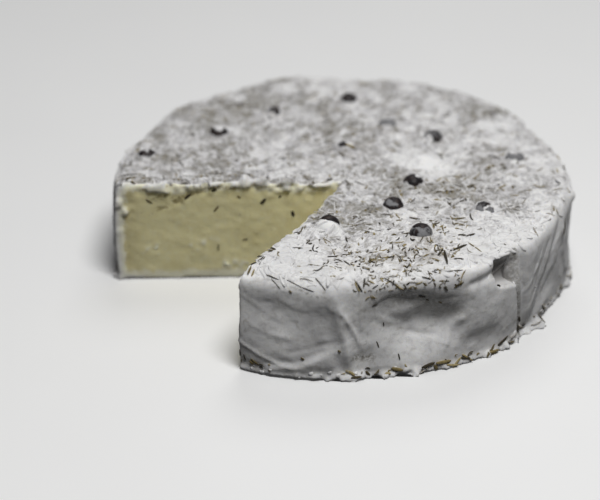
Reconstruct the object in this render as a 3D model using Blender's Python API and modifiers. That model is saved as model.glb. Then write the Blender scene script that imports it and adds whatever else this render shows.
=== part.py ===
"""A soft sheep cheese: a low round wheel in a white mould rind, strewn with dried rosemary
and pressed with juniper berries, with one wedge cut out of it.

Run it with: blender --background --python part.py
Metres, +Z up. The origin is on the table under the middle of the wheel. The wedge is missing
from the front left, where -Y is the front and -X the left.
"""

import math
import random

import bmesh
import bpy
from mathutils import Matrix, Vector
from mathutils.bvhtree import BVHTree

MM = 0.001

# The wheel, before it slumped. A ring of its top is a share of the radius and the points round it
WHEEL_RADIUS = 80 * MM
WHEEL_HEIGHT = 36 * MM
SHOULDER_ROUND = 5 * MM
FOOT_ROUND = 2.5 * MM
SIDE_BELLY = 0.8 * MM
TURN_STEPS = 120
TOP_RINGS = ((0.25, 20), (0.5, 40), (0.72, 60), (0.88, 60))
SIDE_ROWS = 8
RING_TOLERANCE = 0.1 * MM

# The cut: two knife strokes that meet a little in front of the middle
NOTCH_POINT = Vector((0.0, -13 * MM))
FAR_STROKE = math.radians(182)
NEAR_STROKE = math.radians(240)

# Where the wheel lost its roundness: (degrees round from +X, how far in, half width in degrees)
FLAT_SPOTS = (
    (18, 2.6 * MM, 13),
    (88, 1.2 * MM, 16),
    (157, 2.8 * MM, 15),
    (205, 0.6 * MM, 10),
    (247, -1.6 * MM, 7),
    (280, 2.4 * MM, 12),
    (332, 1.8 * MM, 10),
)

# Dents and swellings of the side: (degrees round, height, depth, half width, half height)
SIDE_DENTS = (
    (280, 28 * MM, 2.0 * MM, 9 * MM, 3.5 * MM),
    (296, 28 * MM, 2.8 * MM, 9 * MM, 4 * MM),
    (310, 27.5 * MM, 4.2 * MM, 4.5 * MM, 4 * MM),
    (285, 13 * MM, -1.6 * MM, 10 * MM, 6 * MM),
    (301, 18 * MM, 2.0 * MM, 5 * MM, 6 * MM),
    (253, 24 * MM, 1.1 * MM, 9 * MM, 6 * MM),
    (258, 6 * MM, -1.2 * MM, 14 * MM, 4 * MM),
    (265, 30 * MM, -1.0 * MM, 5 * MM, 4 * MM),
    (274, 7 * MM, 1.4 * MM, 6 * MM, 3.5 * MM),
    (345, 22 * MM, 1.2 * MM, 9 * MM, 9 * MM),
    (330, 11 * MM, 1.3 * MM, 8 * MM, 5 * MM),
    (12, 13 * MM, 1.6 * MM, 12 * MM, 6 * MM),
    (48, 26 * MM, 2.2 * MM, 9 * MM, 4.5 * MM),
    (62, 13 * MM, -1.2 * MM, 12 * MM, 6 * MM),
    (84, 27 * MM, 1.6 * MM, 7 * MM, 4.5 * MM),
    (101, 12 * MM, 2.0 * MM, 8 * MM, 6 * MM),
    (133, 27 * MM, 2.6 * MM, 10 * MM, 4 * MM),
    (150, 12 * MM, -1.1 * MM, 11 * MM, 6 * MM),
    (172, 20 * MM, 1.9 * MM, 8 * MM, 7 * MM),
)

# Folds pressed into the side: (degrees round at the top, degrees at the foot, depth, half width)
SIDE_FOLDS = (
    (315.5, 319, 2.2 * MM, 2.0 * MM),
    (266, 272, -1.0 * MM, 1.8 * MM),
    (340, 320, 0.9 * MM, 2.4 * MM),
    (28, 37, 1.8 * MM, 2.2 * MM),
    (76, 70, -0.9 * MM, 2.2 * MM),
    (121, 113, 1.9 * MM, 2.2 * MM),
    (160, 168, 1.3 * MM, 2.4 * MM),
)

# The top sags and swells a little: (wave length, direction in degrees, phase, height)
TOP_WAVES = (
    (46 * MM, 20, 0.6, 0.40 * MM),
    (33 * MM, 75, 2.1, 0.35 * MM),
    (24 * MM, 130, 4.0, 0.25 * MM),
)
TOP_SAG = 0.5 * MM

# Juniper berries: (x, y, diameter, degrees that the mould creeps up from, how far it creeps: 0 to 1)
BERRIES = (
    (-69.2 * MM, 9.8 * MM, 6.8 * MM, 270, 0.5),
    (-44.3 * MM, 27.1 * MM, 7.2 * MM, 90, 0.7),
    (-24.2 * MM, 42.9 * MM, 7.0 * MM, 215, 0.6),
    (2.8 * MM, 53.9 * MM, 7.2 * MM, 300, 0.2),
    (16.7 * MM, 33.3 * MM, 7.0 * MM, 280, 0.7),
    (-0.1 * MM, 15.4 * MM, 6.6 * MM, 350, 0.8),
    (32.7 * MM, 22.6 * MM, 7.4 * MM, 215, 0.5),
    (24.0 * MM, -10.7 * MM, 7.2 * MM, 40, 0.6),
    (60.4 * MM, 5.6 * MM, 6.9 * MM, 265, 0.8),
    (16.4 * MM, -27.4 * MM, 7.1 * MM, 180, 0.2),
    (24.8 * MM, -47.3 * MM, 7.7 * MM, 270, 0.1),
    (46.6 * MM, -29.7 * MM, 7.6 * MM, 250, 0.5),
    (-5.5 * MM, -39.8 * MM, 7.4 * MM, 262, 1.0),
)
BERRY_HEIGHT_SHARE = 0.92
BERRY_SUNK = 0.5
BERRY_GAP = 0.3 * MM
BERRY_TURN = 37
BERRY_STEPS = (12, 8)
SOCKET_STEPS = (12, 6)

# The mound of mould beside a berry, as shares of its diameter: least size, more by creep, way off
MOUND_SIZE = 0.36
MOUND_GROWTH = 0.16
MOUND_AWAY = 0.30
MOUND_SPREAD = 1.15
MOUND_HEIGHT = (0.35, 0.45)

# Dried rosemary, the largest needles only
NEEDLE_LENGTH = (5.5 * MM, 10 * MM)
NEEDLE_WIDTH = (1.2 * MM, 1.7 * MM)
NEEDLE_THICKNESS = 1.0 * MM
NEEDLE_NARROWING = (0.45, 0.3)
NEEDLE_BEND = 0.5 * MM
NEEDLE_CLEAR = 1.2 * MM
HERB_SEED = 19
TOP_REACH = 0.93 * WHEEL_RADIUS
TOP_CROWDING = 0.46
SHOULDER_AIM = 1.5 * MM
SIDE_BAND = (8 * MM, 28 * MM)
FOOT_BAND = (1.4 * MM, 4 * MM)
TOP_NEEDLES = 92
SHOULDER_NEEDLES = 19
SIDE_NEEDLES = 5
FOOT_NEEDLES = 14

CUT_MARGIN = 6 * MM
MERGE_GAPS = (0.03 * MM, 0.02 * MM, 0.01 * MM, 0.005 * MM, 0.002 * MM)


def clear_scene():
    for thing in list(bpy.data.objects):
        bpy.data.objects.remove(thing, do_unlink=True)


def make_collection(name):
    collection = bpy.data.collections.new(name)
    bpy.context.scene.collection.children.link(collection)
    return collection


def make_material(name, colour, roughness):
    material = bpy.data.materials.new(name)
    material.use_nodes = True
    shader = material.node_tree.nodes["Principled BSDF"]
    shader.inputs["Base Color"].default_value = (*colour, 1)
    shader.inputs["Roughness"].default_value = roughness
    shader.inputs["Metallic"].default_value = 0
    material.diffuse_color = (*colour, 1)
    return material


def add_object(name, mesh, collection, material=None):
    thing = bpy.data.objects.new(name, mesh)
    collection.objects.link(thing)
    if material:
        mesh.materials.clear()
        mesh.materials.append(material)
    return thing


def mesh_from(build, name):
    """A mesh that the function build fills in, through bmesh."""
    work = bmesh.new()
    build(work)
    mesh = bpy.data.meshes.new(name)
    work.to_mesh(mesh)
    work.free()
    return mesh


def bake_modifiers(thing):
    """Gives an object the mesh that its modifiers make, and takes the modifiers off."""
    graph = bpy.context.evaluated_depsgraph_get()
    mesh = bpy.data.meshes.new_from_object(thing.evaluated_get(graph))
    thing.modifiers.clear()
    thing.data = mesh


def is_closed(work):
    return all(len(edge.link_faces) == 2 for edge in work.edges)


def clean_mesh(mesh):
    """Splits a mesh into flat triangles and takes out slivers, by the widest gap that leaves it closed."""
    for gap in MERGE_GAPS:
        work = bmesh.new()
        work.from_mesh(mesh)
        bmesh.ops.triangulate(work, faces=work.faces)
        bmesh.ops.dissolve_degenerate(work, edges=work.edges, dist=gap)
        bmesh.ops.triangulate(work, faces=work.faces)
        closed = is_closed(work)
        if closed:
            work.to_mesh(mesh)
        work.free()
        if closed:
            return


def hide_helper(thing):
    thing.hide_render = True
    thing.display_type = "WIRE"


# ---- the shape of the wheel ----


def turn_between(angle, centre):
    """The smallest turn from centre to angle, in radians."""
    return (angle - centre + math.pi) % (2 * math.pi) - math.pi


def bell(distance, half_width):
    return math.exp(-((distance / half_width) ** 2))


def ease(low, high, value):
    share = min(1.0, max(0.0, (value - low) / (high - low)))
    return share * share * (3 - 2 * share)


def flattening(angle):
    """How far the outline lies inside the true circle."""
    return sum(
        depth * bell(math.degrees(turn_between(angle, math.radians(middle))), half)
        for middle, depth, half in FLAT_SPOTS
    )


def side_dent(angle, height):
    """How far the side is pressed in at this place, by dents and folds together."""
    pressed = 0.0
    for middle, level, depth, half_width, half_height in SIDE_DENTS:
        along = turn_between(angle, math.radians(middle)) * WHEEL_RADIUS
        pressed += depth * bell(along, half_width) * bell(height - level, half_height)
    for top, foot, depth, half_width in SIDE_FOLDS:
        middle = foot + (top - foot) * height / WHEEL_HEIGHT
        along = turn_between(angle, math.radians(middle)) * WHEEL_RADIUS
        pressed += depth * bell(along, half_width)
    return pressed


def top_relief(x, y):
    """How far the top stands above a flat one."""
    rise = -TOP_SAG * (1 - ease(0, WHEEL_RADIUS, math.hypot(x, y)))
    for length, direction, phase, height in TOP_WAVES:
        turn = math.radians(direction)
        way = x * math.cos(turn) + y * math.sin(turn)
        rise += height * math.sin(2 * math.pi * way / length + phase)
    return rise


def slumped(point):
    """Where a point of the true turned wheel lies on the soft one."""
    radius = math.hypot(point.x, point.y)
    angle = math.atan2(point.y, point.x)
    outness = radius / WHEEL_RADIUS
    near_side = ease(0.86, 0.99, outness)
    above_foot = ease(0, FOOT_ROUND, point.z)
    pressed = flattening(angle) * outness + side_dent(angle, point.z) * near_side * above_foot
    scale = (radius - pressed) / radius if radius else 1.0
    on_top = ease(WHEEL_HEIGHT - SHOULDER_ROUND, WHEEL_HEIGHT, point.z)
    x = point.x * scale
    y = point.y * scale
    return Vector((x, y, point.z + on_top * top_relief(x, y)))


def arc(centre_radius, centre_height, size, start, end, steps):
    """Points of an arc in the half section, from start to end degrees."""
    for step in range(steps + 1):
        turn = math.radians(start + (end - start) * step / steps)
        yield centre_radius + size * math.cos(turn), centre_height + size * math.sin(turn)


def wheel_section():
    """The half section of the wheel: out along the top, down the side and back under the foot."""
    points = [(0.0, WHEEL_HEIGHT)]
    points += [(WHEEL_RADIUS * share, WHEEL_HEIGHT) for share, _ in TOP_RINGS]
    shoulder = WHEEL_RADIUS - SHOULDER_ROUND, WHEEL_HEIGHT - SHOULDER_ROUND
    foot = WHEEL_RADIUS - FOOT_ROUND, FOOT_ROUND
    points += arc(*shoulder, SHOULDER_ROUND, 90, 0, 3)
    for row in range(1, SIDE_ROWS):
        down = row / SIDE_ROWS
        height = shoulder[1] + (foot[1] - shoulder[1]) * down
        points.append((WHEEL_RADIUS + SIDE_BELLY * math.sin(math.pi * down), height))
    points += arc(*foot, FOOT_ROUND, 0, -90, 2)
    points.append((0.0, 0.0))
    return points


def thin_out_top(mesh):
    """Leaves fewer points on the rings of the top, where they would crowd together."""
    work = bmesh.new()
    work.from_mesh(mesh)
    for share, count in TOP_RINGS:
        step = 2 * math.pi / count
        for vertex in work.verts:
            radius = math.hypot(vertex.co.x, vertex.co.y)
            if vertex.co.z > WHEEL_HEIGHT / 2 and abs(radius - WHEEL_RADIUS * share) < RING_TOLERANCE:
                turn = round(math.atan2(vertex.co.y, vertex.co.x) / step) * step
                vertex.co.xy = radius * math.cos(turn), radius * math.sin(turn)
    bmesh.ops.remove_doubles(work, verts=work.verts, dist=RING_TOLERANCE)
    work.to_mesh(mesh)
    work.free()


def build_wheel(collection, rind):
    def outline(work):
        dots = [work.verts.new((radius, 0, height)) for radius, height in wheel_section()]
        for first, second in zip(dots, dots[1:]):
            work.edges.new((first, second))

    wheel = add_object("cheese", mesh_from(outline, "cheese"), collection, rind)
    screw = wheel.modifiers.new("turned", "SCREW")
    screw.steps = TURN_STEPS
    screw.render_steps = TURN_STEPS
    screw.use_merge_vertices = True
    screw.merge_threshold = 0.01 * MM
    bake_modifiers(wheel)
    thin_out_top(wheel.data)
    for vertex in wheel.data.vertices:
        vertex.co = slumped(vertex.co)
    clean_mesh(wheel.data)
    return wheel


# ---- the wedge ----


def stroke_way(turn):
    """The level direction in which a knife stroke runs out from the point of the notch."""
    return Vector((math.cos(turn), math.sin(turn)))


def build_wedge_cutter(collection, paste):
    """The wedge that was taken out, longer and taller than the cheese. Its faces carry the paste."""
    reach = 2 * WHEEL_RADIUS
    corners = [NOTCH_POINT] + [NOTCH_POINT + stroke_way(turn) * reach for turn in (FAR_STROKE, NEAR_STROKE)]

    def prism(work):
        floor = work.faces.new([work.verts.new((*corner, -CUT_MARGIN)) for corner in corners])
        tall = bmesh.ops.extrude_face_region(work, geom=[floor])
        lifted = [part for part in tall["geom"] if isinstance(part, bmesh.types.BMVert)]
        bmesh.ops.translate(work, verts=lifted, vec=(0, 0, WHEEL_HEIGHT + 2 * CUT_MARGIN))
        bmesh.ops.recalc_face_normals(work, faces=work.faces)

    hide_helper(add_object("wedge_cutter", mesh_from(prism, "wedge_cutter"), collection, paste))


# ---- the berries ----


def berry_ball(diameter, steps):
    """A round ball, a little lower than it is wide."""
    sides, rings = steps

    def ball(work):
        bmesh.ops.create_uvsphere(work, u_segments=sides, v_segments=rings, radius=diameter / 2)
        bmesh.ops.scale(work, verts=work.verts, vec=(1, 1, BERRY_HEIGHT_SHARE))

    return ball


def berry_place(x, y, diameter):
    """The middle of a berry that is sunk into the top."""
    surface = WHEEL_HEIGHT + top_relief(x, y)
    return Vector((x, y, surface + (0.5 - BERRY_SUNK) * diameter * BERRY_HEIGHT_SHARE))


def put_in_place(thing, number, berry):
    x, y, diameter, _, _ = berry
    thing.location = berry_place(x, y, diameter)
    thing.rotation_euler.z = math.radians(BERRY_TURN * number)


def build_berry(number, berry, collection, material):
    name = f"juniper_berry_{number:02d}"
    diameter = berry[2]
    thing = add_object(name, mesh_from(berry_ball(diameter, BERRY_STEPS), name), collection, material)
    put_in_place(thing, number, berry)
    thing.data.shade_smooth()


def build_socket(number, berry, collection):
    """The hollow that a berry has pressed into the rind, a hair wider than the berry."""
    name = f"socket_{number:02d}"
    diameter = berry[2] + 2 * BERRY_GAP
    thing = add_object(name, mesh_from(berry_ball(diameter, SOCKET_STEPS), name), collection)
    put_in_place(thing, number, berry)
    hide_helper(thing)


def build_mound(number, berry, collection, rind):
    """The mound of mould that creeps up one side of a berry."""
    x, y, diameter, side, creep = berry
    turn = math.radians(side)
    size = diameter * (MOUND_SIZE + MOUND_GROWTH * creep)
    low, more = MOUND_HEIGHT

    def mound(work):
        bmesh.ops.create_icosphere(work, subdivisions=2, radius=size)
        bmesh.ops.scale(work, verts=work.verts, vec=(MOUND_SPREAD, MOUND_SPREAD, low + more * creep))

    name = f"mound_{number:02d}"
    thing = add_object(name, mesh_from(mound, name), collection, rind)
    away = diameter * MOUND_AWAY
    x += away * math.cos(turn)
    y += away * math.sin(turn)
    thing.location = (x, y, WHEEL_HEIGHT + top_relief(x, y))


# ---- the herbs ----


def needle_strip(length, width, bend):
    """A dried needle, folded along its middle: three stretches, narrow at the ends, slightly curled."""

    def strip(work):
        bmesh.ops.create_cone(work, cap_ends=True, segments=3, radius1=1, radius2=1, depth=1)
        bmesh.ops.rotate(work, verts=work.verts, matrix=Matrix.Rotation(math.pi / 2, 3, "Y"))
        lengthwise = [e for e in work.edges if abs(e.verts[0].co.x - e.verts[1].co.x) > 0.5]
        bmesh.ops.subdivide_edges(work, edges=lengthwise, cuts=2)
        across, upward = NEEDLE_NARROWING
        for vertex in work.verts:
            at_end = abs(vertex.co.x) * 2
            vertex.co.y *= width / math.sqrt(3) * (1 - across * at_end**3)
            vertex.co.z *= NEEDLE_THICKNESS * 2 / 3 * (1 - upward * at_end**3)
            vertex.co.y += bend * at_end**2
            vertex.co.x *= length

    return strip


def by_the_cut(place, margin):
    """Whether a place lies in the wedge that was taken out, or nearer to it than the margin."""
    behind_far = (place.xy - NOTCH_POINT).cross(stroke_way(FAR_STROKE))
    behind_near = stroke_way(NEAR_STROKE).cross(place.xy - NOTCH_POINT)
    return behind_far < margin and behind_near < margin


def free_of(place, length, taken):
    """Whether a needle here keeps clear of the berries, the cut and the middles of other needles."""
    if by_the_cut(place, length / 2):
        return False
    for x, y, diameter, _, _ in BERRIES:
        away = math.hypot(place.x - x, place.y - y)
        if place.z > WHEEL_HEIGHT / 2 and away < diameter + length / 2 + NEEDLE_CLEAR:
            return False
    return all((place - other).length > (length + reach) / 2 for other, reach in taken)


def outward_way(turn):
    return Vector((math.cos(turn), math.sin(turn), 0))


def top_spot(draw):
    """A ray down on to the top, more often near the rim than in the middle."""
    radius = TOP_REACH * draw.random() ** TOP_CROWDING
    above = Vector((0, 0, 2 * WHEEL_HEIGHT))
    return outward_way(draw.uniform(0, 2 * math.pi)) * radius + above, Vector((0, 0, -1))


def shoulder_spot(draw):
    """A ray at the rounded top edge, slanting in and down."""
    outward = outward_way(draw.uniform(0, 2 * math.pi))
    inward = (Vector((0, 0, -1)) - outward).normalized()
    target = outward * (WHEEL_RADIUS - SHOULDER_AIM) + Vector((0, 0, WHEEL_HEIGHT - SHOULDER_AIM))
    return target - inward * WHEEL_RADIUS, inward


def side_spot(low, high):
    """A function that draws a level ray at the side, between these heights."""

    def spot(draw):
        outward = outward_way(draw.uniform(0, 2 * math.pi))
        return outward * 2 * WHEEL_RADIUS + Vector((0, 0, draw.uniform(low, high))), -outward

    return spot


def lay_needle(name, hit, normal, level_share, length, draw, collection, material):
    """A needle on the surface at hit. A level share of 1 runs it level round the wheel, 0 any way."""
    level = Vector((0, 0, 1)).cross(normal)
    way = level.normalized() if level.length > 0.5 else normal.orthogonal().normalized()
    turn = draw.uniform(-1, 1) * math.pi / 2 * (1 - level_share)
    way = Matrix.Rotation(turn, 3, normal) @ way
    strip = needle_strip(length, draw.uniform(*NEEDLE_WIDTH), draw.uniform(-1, 1) * NEEDLE_BEND)
    thing = add_object(name, mesh_from(strip, name), collection, material)
    turned = Matrix((way, normal.cross(way), normal)).transposed().to_4x4()
    thing.matrix_world = Matrix.Translation(hit) @ turned


def build_needles(wheel, collection, material):
    draw = random.Random(HERB_SEED)
    bpy.context.view_layer.update()
    surface = BVHTree.FromObject(wheel, bpy.context.evaluated_depsgraph_get())
    zones = (
        ("top", TOP_NEEDLES, top_spot, 0.0),
        ("shoulder", SHOULDER_NEEDLES, shoulder_spot, 0.3),
        ("side", SIDE_NEEDLES, side_spot(*SIDE_BAND), 0.3),
        ("foot", FOOT_NEEDLES, side_spot(*FOOT_BAND), 1.0),
    )
    taken = []
    for zone, wanted, spot, level_share in zones:
        laid = 0
        while laid < wanted:
            hit, normal, _, _ = surface.ray_cast(*spot(draw))
            length = draw.uniform(*NEEDLE_LENGTH)
            if hit is None or not free_of(hit, length, taken):
                continue
            name = f"{zone}_needle_{laid:03d}"
            lay_needle(name, hit, normal, level_share, length, draw, collection, material)
            taken.append((hit, length))
            laid += 1


# ---- putting it together ----


def combine(target, operation, collection):
    """Joins to target, or cuts from it, all of a collection's objects, which are then removed."""
    boolean = target.modifiers.new(operation.lower(), "BOOLEAN")
    boolean.operation = operation
    boolean.solver = "EXACT"
    boolean.material_mode = "TRANSFER"
    boolean.operand_type = "COLLECTION"
    boolean.collection = collection
    bake_modifiers(target)
    clean_mesh(target.data)
    for thing in list(collection.objects):
        bpy.data.objects.remove(thing, do_unlink=True)
    bpy.data.collections.remove(collection)


def main():
    clear_scene()
    rind = make_material("white_rind", (0.80, 0.79, 0.78), 0.9)
    paste = make_material("ivory_paste", (0.66, 0.58, 0.34), 0.55)
    herb = make_material("dried_herb", (0.16, 0.13, 0.06), 0.8)
    berry_skin = make_material("juniper_skin", (0.035, 0.03, 0.035), 0.5)

    shown = make_collection("soft_sheep_cheese")
    wheel = build_wheel(shown, rind)

    mounds = make_collection("mounds")
    for number, berry in enumerate(BERRIES, 1):
        build_mound(number, berry, mounds, rind)
    combine(wheel, "UNION", mounds)

    cutters = make_collection("cutters")
    build_wedge_cutter(cutters, paste)
    for number, berry in enumerate(BERRIES, 1):
        build_socket(number, berry, cutters)
    combine(wheel, "DIFFERENCE", cutters)

    needles = make_collection("needles")
    build_needles(wheel, needles, herb)
    combine(wheel, "UNION", needles)

    for number, berry in enumerate(BERRIES, 1):
        build_berry(number, berry, shown, berry_skin)


main()
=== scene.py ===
"""The looks of a soft sheep cheese: white mould rind, ivory paste at the cut, dried rosemary
and juniper berries. The wheel repeats the sizes of the solid model and gets its fine surface here."""

import itertools
import math
import random

import bmesh
import bpy
import numpy as np
from mathutils import Matrix, Vector
from mathutils.bvhtree import BVHTree


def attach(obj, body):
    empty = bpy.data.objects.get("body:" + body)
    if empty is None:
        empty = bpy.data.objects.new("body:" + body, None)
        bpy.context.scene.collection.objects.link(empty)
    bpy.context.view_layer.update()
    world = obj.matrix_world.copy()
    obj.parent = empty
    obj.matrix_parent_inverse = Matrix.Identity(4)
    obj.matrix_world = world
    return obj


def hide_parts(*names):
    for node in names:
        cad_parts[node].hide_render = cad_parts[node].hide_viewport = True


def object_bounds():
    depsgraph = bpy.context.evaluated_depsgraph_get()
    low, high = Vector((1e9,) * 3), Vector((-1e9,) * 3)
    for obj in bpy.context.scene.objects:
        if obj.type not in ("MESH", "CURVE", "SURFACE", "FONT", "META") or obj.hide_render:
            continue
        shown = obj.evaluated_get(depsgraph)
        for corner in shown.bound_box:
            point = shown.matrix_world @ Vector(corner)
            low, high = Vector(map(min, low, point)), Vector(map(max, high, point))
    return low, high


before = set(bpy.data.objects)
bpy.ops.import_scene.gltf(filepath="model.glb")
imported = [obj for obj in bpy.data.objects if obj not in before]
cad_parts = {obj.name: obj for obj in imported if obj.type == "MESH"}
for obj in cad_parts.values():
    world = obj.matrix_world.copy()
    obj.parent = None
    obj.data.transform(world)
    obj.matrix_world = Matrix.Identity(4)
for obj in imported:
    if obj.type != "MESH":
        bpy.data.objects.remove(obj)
CAD_LOW, CAD_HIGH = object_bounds()

MM = 0.001
BODY = "root"
SMALL = 1e-6
FAR_OFF = 1e9
FLAT = np.array((1, 1, 0))
ALL_ROUND = (-178, 182)

# ---- the wheel: the same sizes as the solids, in millimetres and degrees ----

WHEEL_RADIUS = 80
WHEEL_HEIGHT = 36
SHOULDER_ROUND = 5
FOOT_ROUND = 0.6
SIDE_BELLY = 0.8
NOTCH_POINT = (0, -13)
FAR_STROKE = 182
NEAR_STROKE = 240

# degrees round, how far in, half width in degrees
FLAT_SPOTS = (
    (18, 2.6, 13),
    (88, 2.2, 16),
    (157, 2.8, 15),
    (205, 0.6, 10),
    (247, -0.4, 7),
    (280, 2.4, 12),
    (332, 1.8, 10),
    (60, 1.4, 18),
    (112, 1.0, 18),
)

# The band near the rim, as shares of the radius, over which the dents of the side run out
DENTED_BAND = (0.86, 0.99)
# degrees round, height, depth, half width, half height
SIDE_DENTS = (
    (287, 17, 4.2, 13, 9),
    (286.5, 27, 1.0, 9.5, 3.5),
    (291, 18.5, 2.1, 7.5, 6),
    (286, 27, 0.6, 7, 3),
    (283, 22, -0.9, 4, 3.5),
    (280, 22, 1.2, 6, 7),
    (296, 15.5, 2.2, 5, 6),
    (299, 15, -0.7, 2.5, 6),
    (303, 7, 1.3, 8, 6),
    (284, 3.5, -0.8, 12, 4),
    (306, 21, -0.6, 7, 6),
    (309, 31.5, 1.4, 6, 3.5),
    (2, 20, 1.4, 14, 9),
    (350, 12, 0.9, 12, 7),
    (349.5, 33.5, -1.7, 2.2, 2.2),
    (311, 35, -0.8, 5, 1.8),
    (253, 24, 1.1, 9, 6),
    (258, 9, -0.6, 14, 5),
    (265, 30, -1.0, 5, 4),
    (274.5, 7, 0.8, 4, 3),
    (345, 22, 1.2, 9, 9),
    (330, 11, 1.3, 8, 5),
    (12, 13, 1.6, 12, 6),
    (48, 26, 2.2, 9, 4.5),
    (62, 13, -1.2, 12, 6),
    (84, 27, 1.6, 7, 4.5),
    (101, 12, 2.0, 8, 6),
    (133, 27, 2.6, 10, 4),
    (150, 12, -1.1, 11, 6),
    (172, 20, 1.9, 8, 7),
)

# degrees round at the top, degrees at the foot, depth, half width
SIDE_FOLDS = (
    (315.5, 319, 2.2, 2.0),
    (266, 272, -1.0, 1.8),
    (340, 320, 0.9, 2.4),
    (28, 37, 1.8, 2.2),
    (76, 70, -0.9, 2.2),
    (121, 113, 1.9, 2.2),
    (160, 168, 1.3, 2.4),
)

# wave length, direction in degrees, phase, height
TOP_WAVES = (
    (46, 20, 0.6, 0.40),
    (33, 75, 2.1, 0.35),
    (24, 130, 4.0, 0.25),
)
TOP_SAG = 0.5

# x, y, diameter, degrees that the mould creeps up from, how far it creeps
BERRIES = (
    (-69.2, 9.8, 6.8, 270, 0.5),
    (-44.3, 27.1, 7.2, 90, 0.7),
    (-24.2, 42.9, 7.0, 215, 0.6),
    (2.8, 53.9, 7.2, 300, 0.2),
    (16.7, 33.3, 7.0, 280, 0.45),
    (-0.1, 15.4, 6.6, 350, 0.8),
    (32.7, 22.6, 7.4, 215, 0.5),
    (24.0, -10.7, 7.2, 40, 0.6),
    (60.4, 5.6, 6.9, 265, 0.5),
    (16.4, -27.4, 7.1, 180, 0.2),
    (24.8, -47.3, 7.7, 270, 0.1),
    (46.6, -29.7, 7.6, 250, 0.5),
    (-5.5, -39.8, 7.4, 262, 1.0),
)
BERRY_HEIGHT_SHARE = 0.92
# Where the mould leaves the berries' skin bare, seen from the front: how far right and up, half
# width and half height as shares of the radius, and how much waxy bloom dulls it
BERRY_SPOTS = (
    ((-0.4, 0.45, 0.38, 0.4, 0.1), (0.4, 0.42, 0.38, 0.42, 0.1), (0, 0.4, 0.5, 0.25, 0.2)),
    ((-0.6, 0.5, 0.4, 0.42, 0.1), (0.72, 0.45, 0.34, 0.45, 0.1), (0.08, 0.14, 0.75, 0.32, 0.15)),
    ((0.08, 0.45, 0.55, 0.6, 0.1), (-0.5, 0.6, 0.45, 0.18, 0.6)),
    ((0.1, 0.35, 0.85, 0.5, 0.15), (0.25, 0.65, 0.5, 0.5, 0.1)),
    ((-0.2, 0.4, 0.85, 0.5, 0.9), (0.45, 0.25, 0.6, 0.42, 1.0)),
    ((0.05, 0.5, 0.42, 0.34, 0.1), (0.6, 0.3, 0.4, 0.16, 0.8)),
    ((-0.3, 0.72, 0.85, 0.34, 0.55), (0.35, 0.3, 0.5, 0.6, 0.4), (0.4, -0.05, 0.55, 0.35, 0.15)),
    ((-0.35, 0.5, 0.6, 0.6, 0.1), (0.3, 0.22, 0.8, 0.38, 0.1)),
    ((-0.5, 0.35, 0.55, 0.4, 0.9), (0.4, 0.4, 0.5, 0.5, 0.75)),
    ((0.1, 0.2, 1.1, 1.1, 0.1), (-0.4, 0.35, 0.38, 0.32, 1.1), (0.1, 0.1, 0.38, 0.32, 0.9),
     (0.0, -0.3, 0.4, 0.3, 0.2)),
    ((0.1, 0.3, 1.1, 0.9, 0.85), (0.1, 0.85, 1.0, 0.24, 0.0), (-0.65, 0.05, 0.36, 0.45, 0.3),
     (0.65, 0.3, 0.3, 0.32, 0.5)),
    ((0.0, 0.72, 0.65, 0.2, 0.1), (-0.3, 0.5, 0.42, 0.26, 0.5), (-0.4, 0.18, 0.42, 0.34, 0.85),
     (0.68, 0.05, 0.5, 0.34, 0.8)),
    ((0, 0.6, 1.2, 0.9, -0.4),),
)
VIEW_RISE = 30
# Where a spot starts and where it is full, as shares of its own size
SPOT_EDGE = (1.2, 0.8)

# Every table named HILLS holds soft unevenness: size of the hills, their height, and where in the
# field of random values they start
SPOT_HILLS = ((0.5, 0.22, 2.2), (0.5, 0.22, 6.8))

# The mound of mould beside a berry, as shares of its diameter: least size, more by creep, way off
MOUND_SIZE = 0.36
MOUND_GROWTH = 0.16
MOUND_AWAY = 0.30
MOUND_SPREAD = 1.15
MOUND_HEIGHT = (0.35, 0.45)
MOUND_SKIRT = (0.45, 1.15)
MOUND_EDGE_HILLS = ((3.0, 0.16, 0.5),)
MOUND_HILLS = ((1.7, 0.25, 0),)
MOUND_HILL_SPREAD = 1.2
MOUND_LEVELS = (21.6, 28.8)
MOUND_DEPTH = 1.0
# The low ring of mould round every berry
COLLAR_HEIGHT = 0.55
COLLAR_WIDTH = 0.9
COLLAR_OFF = 0.2
COLLAR_HILLS = ((2.1, 0.8, 0),)

# The berries' own skin, with the angles of the seam in radians from its pole
BERRY_SPLITS = 4
BERRY_SUNK = 0.4
BERRY_TILT = (0.2, 1.3)
BERRY_HILLS = ((0.9, 0.04, 1.7),)
BERRY_CREASE_HILLS = ((0.34, 1, 0), (0.16, 0.5, 3.3))
BERRY_WRINKLE = 0.22
BERRY_FULLNESS = 0.4
BERRY_SEAM = 0.35
BERRY_SEAM_WIDTH = 0.28
BERRY_SEAM_REACH = (0.62, 0.31)

# ---- the fine surface, in millimetres ----

TURN_STEPS = 420
TOP_STEP = 2.0
SHOULDER_STEPS = 8
SIDE_STEPS = 30
FOOT_STEPS = 4
CUT_MARGIN = 6
VOXEL = 0.68
FLOOR_REACH = 0.45
FACING_DOWN = -0.9

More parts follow.
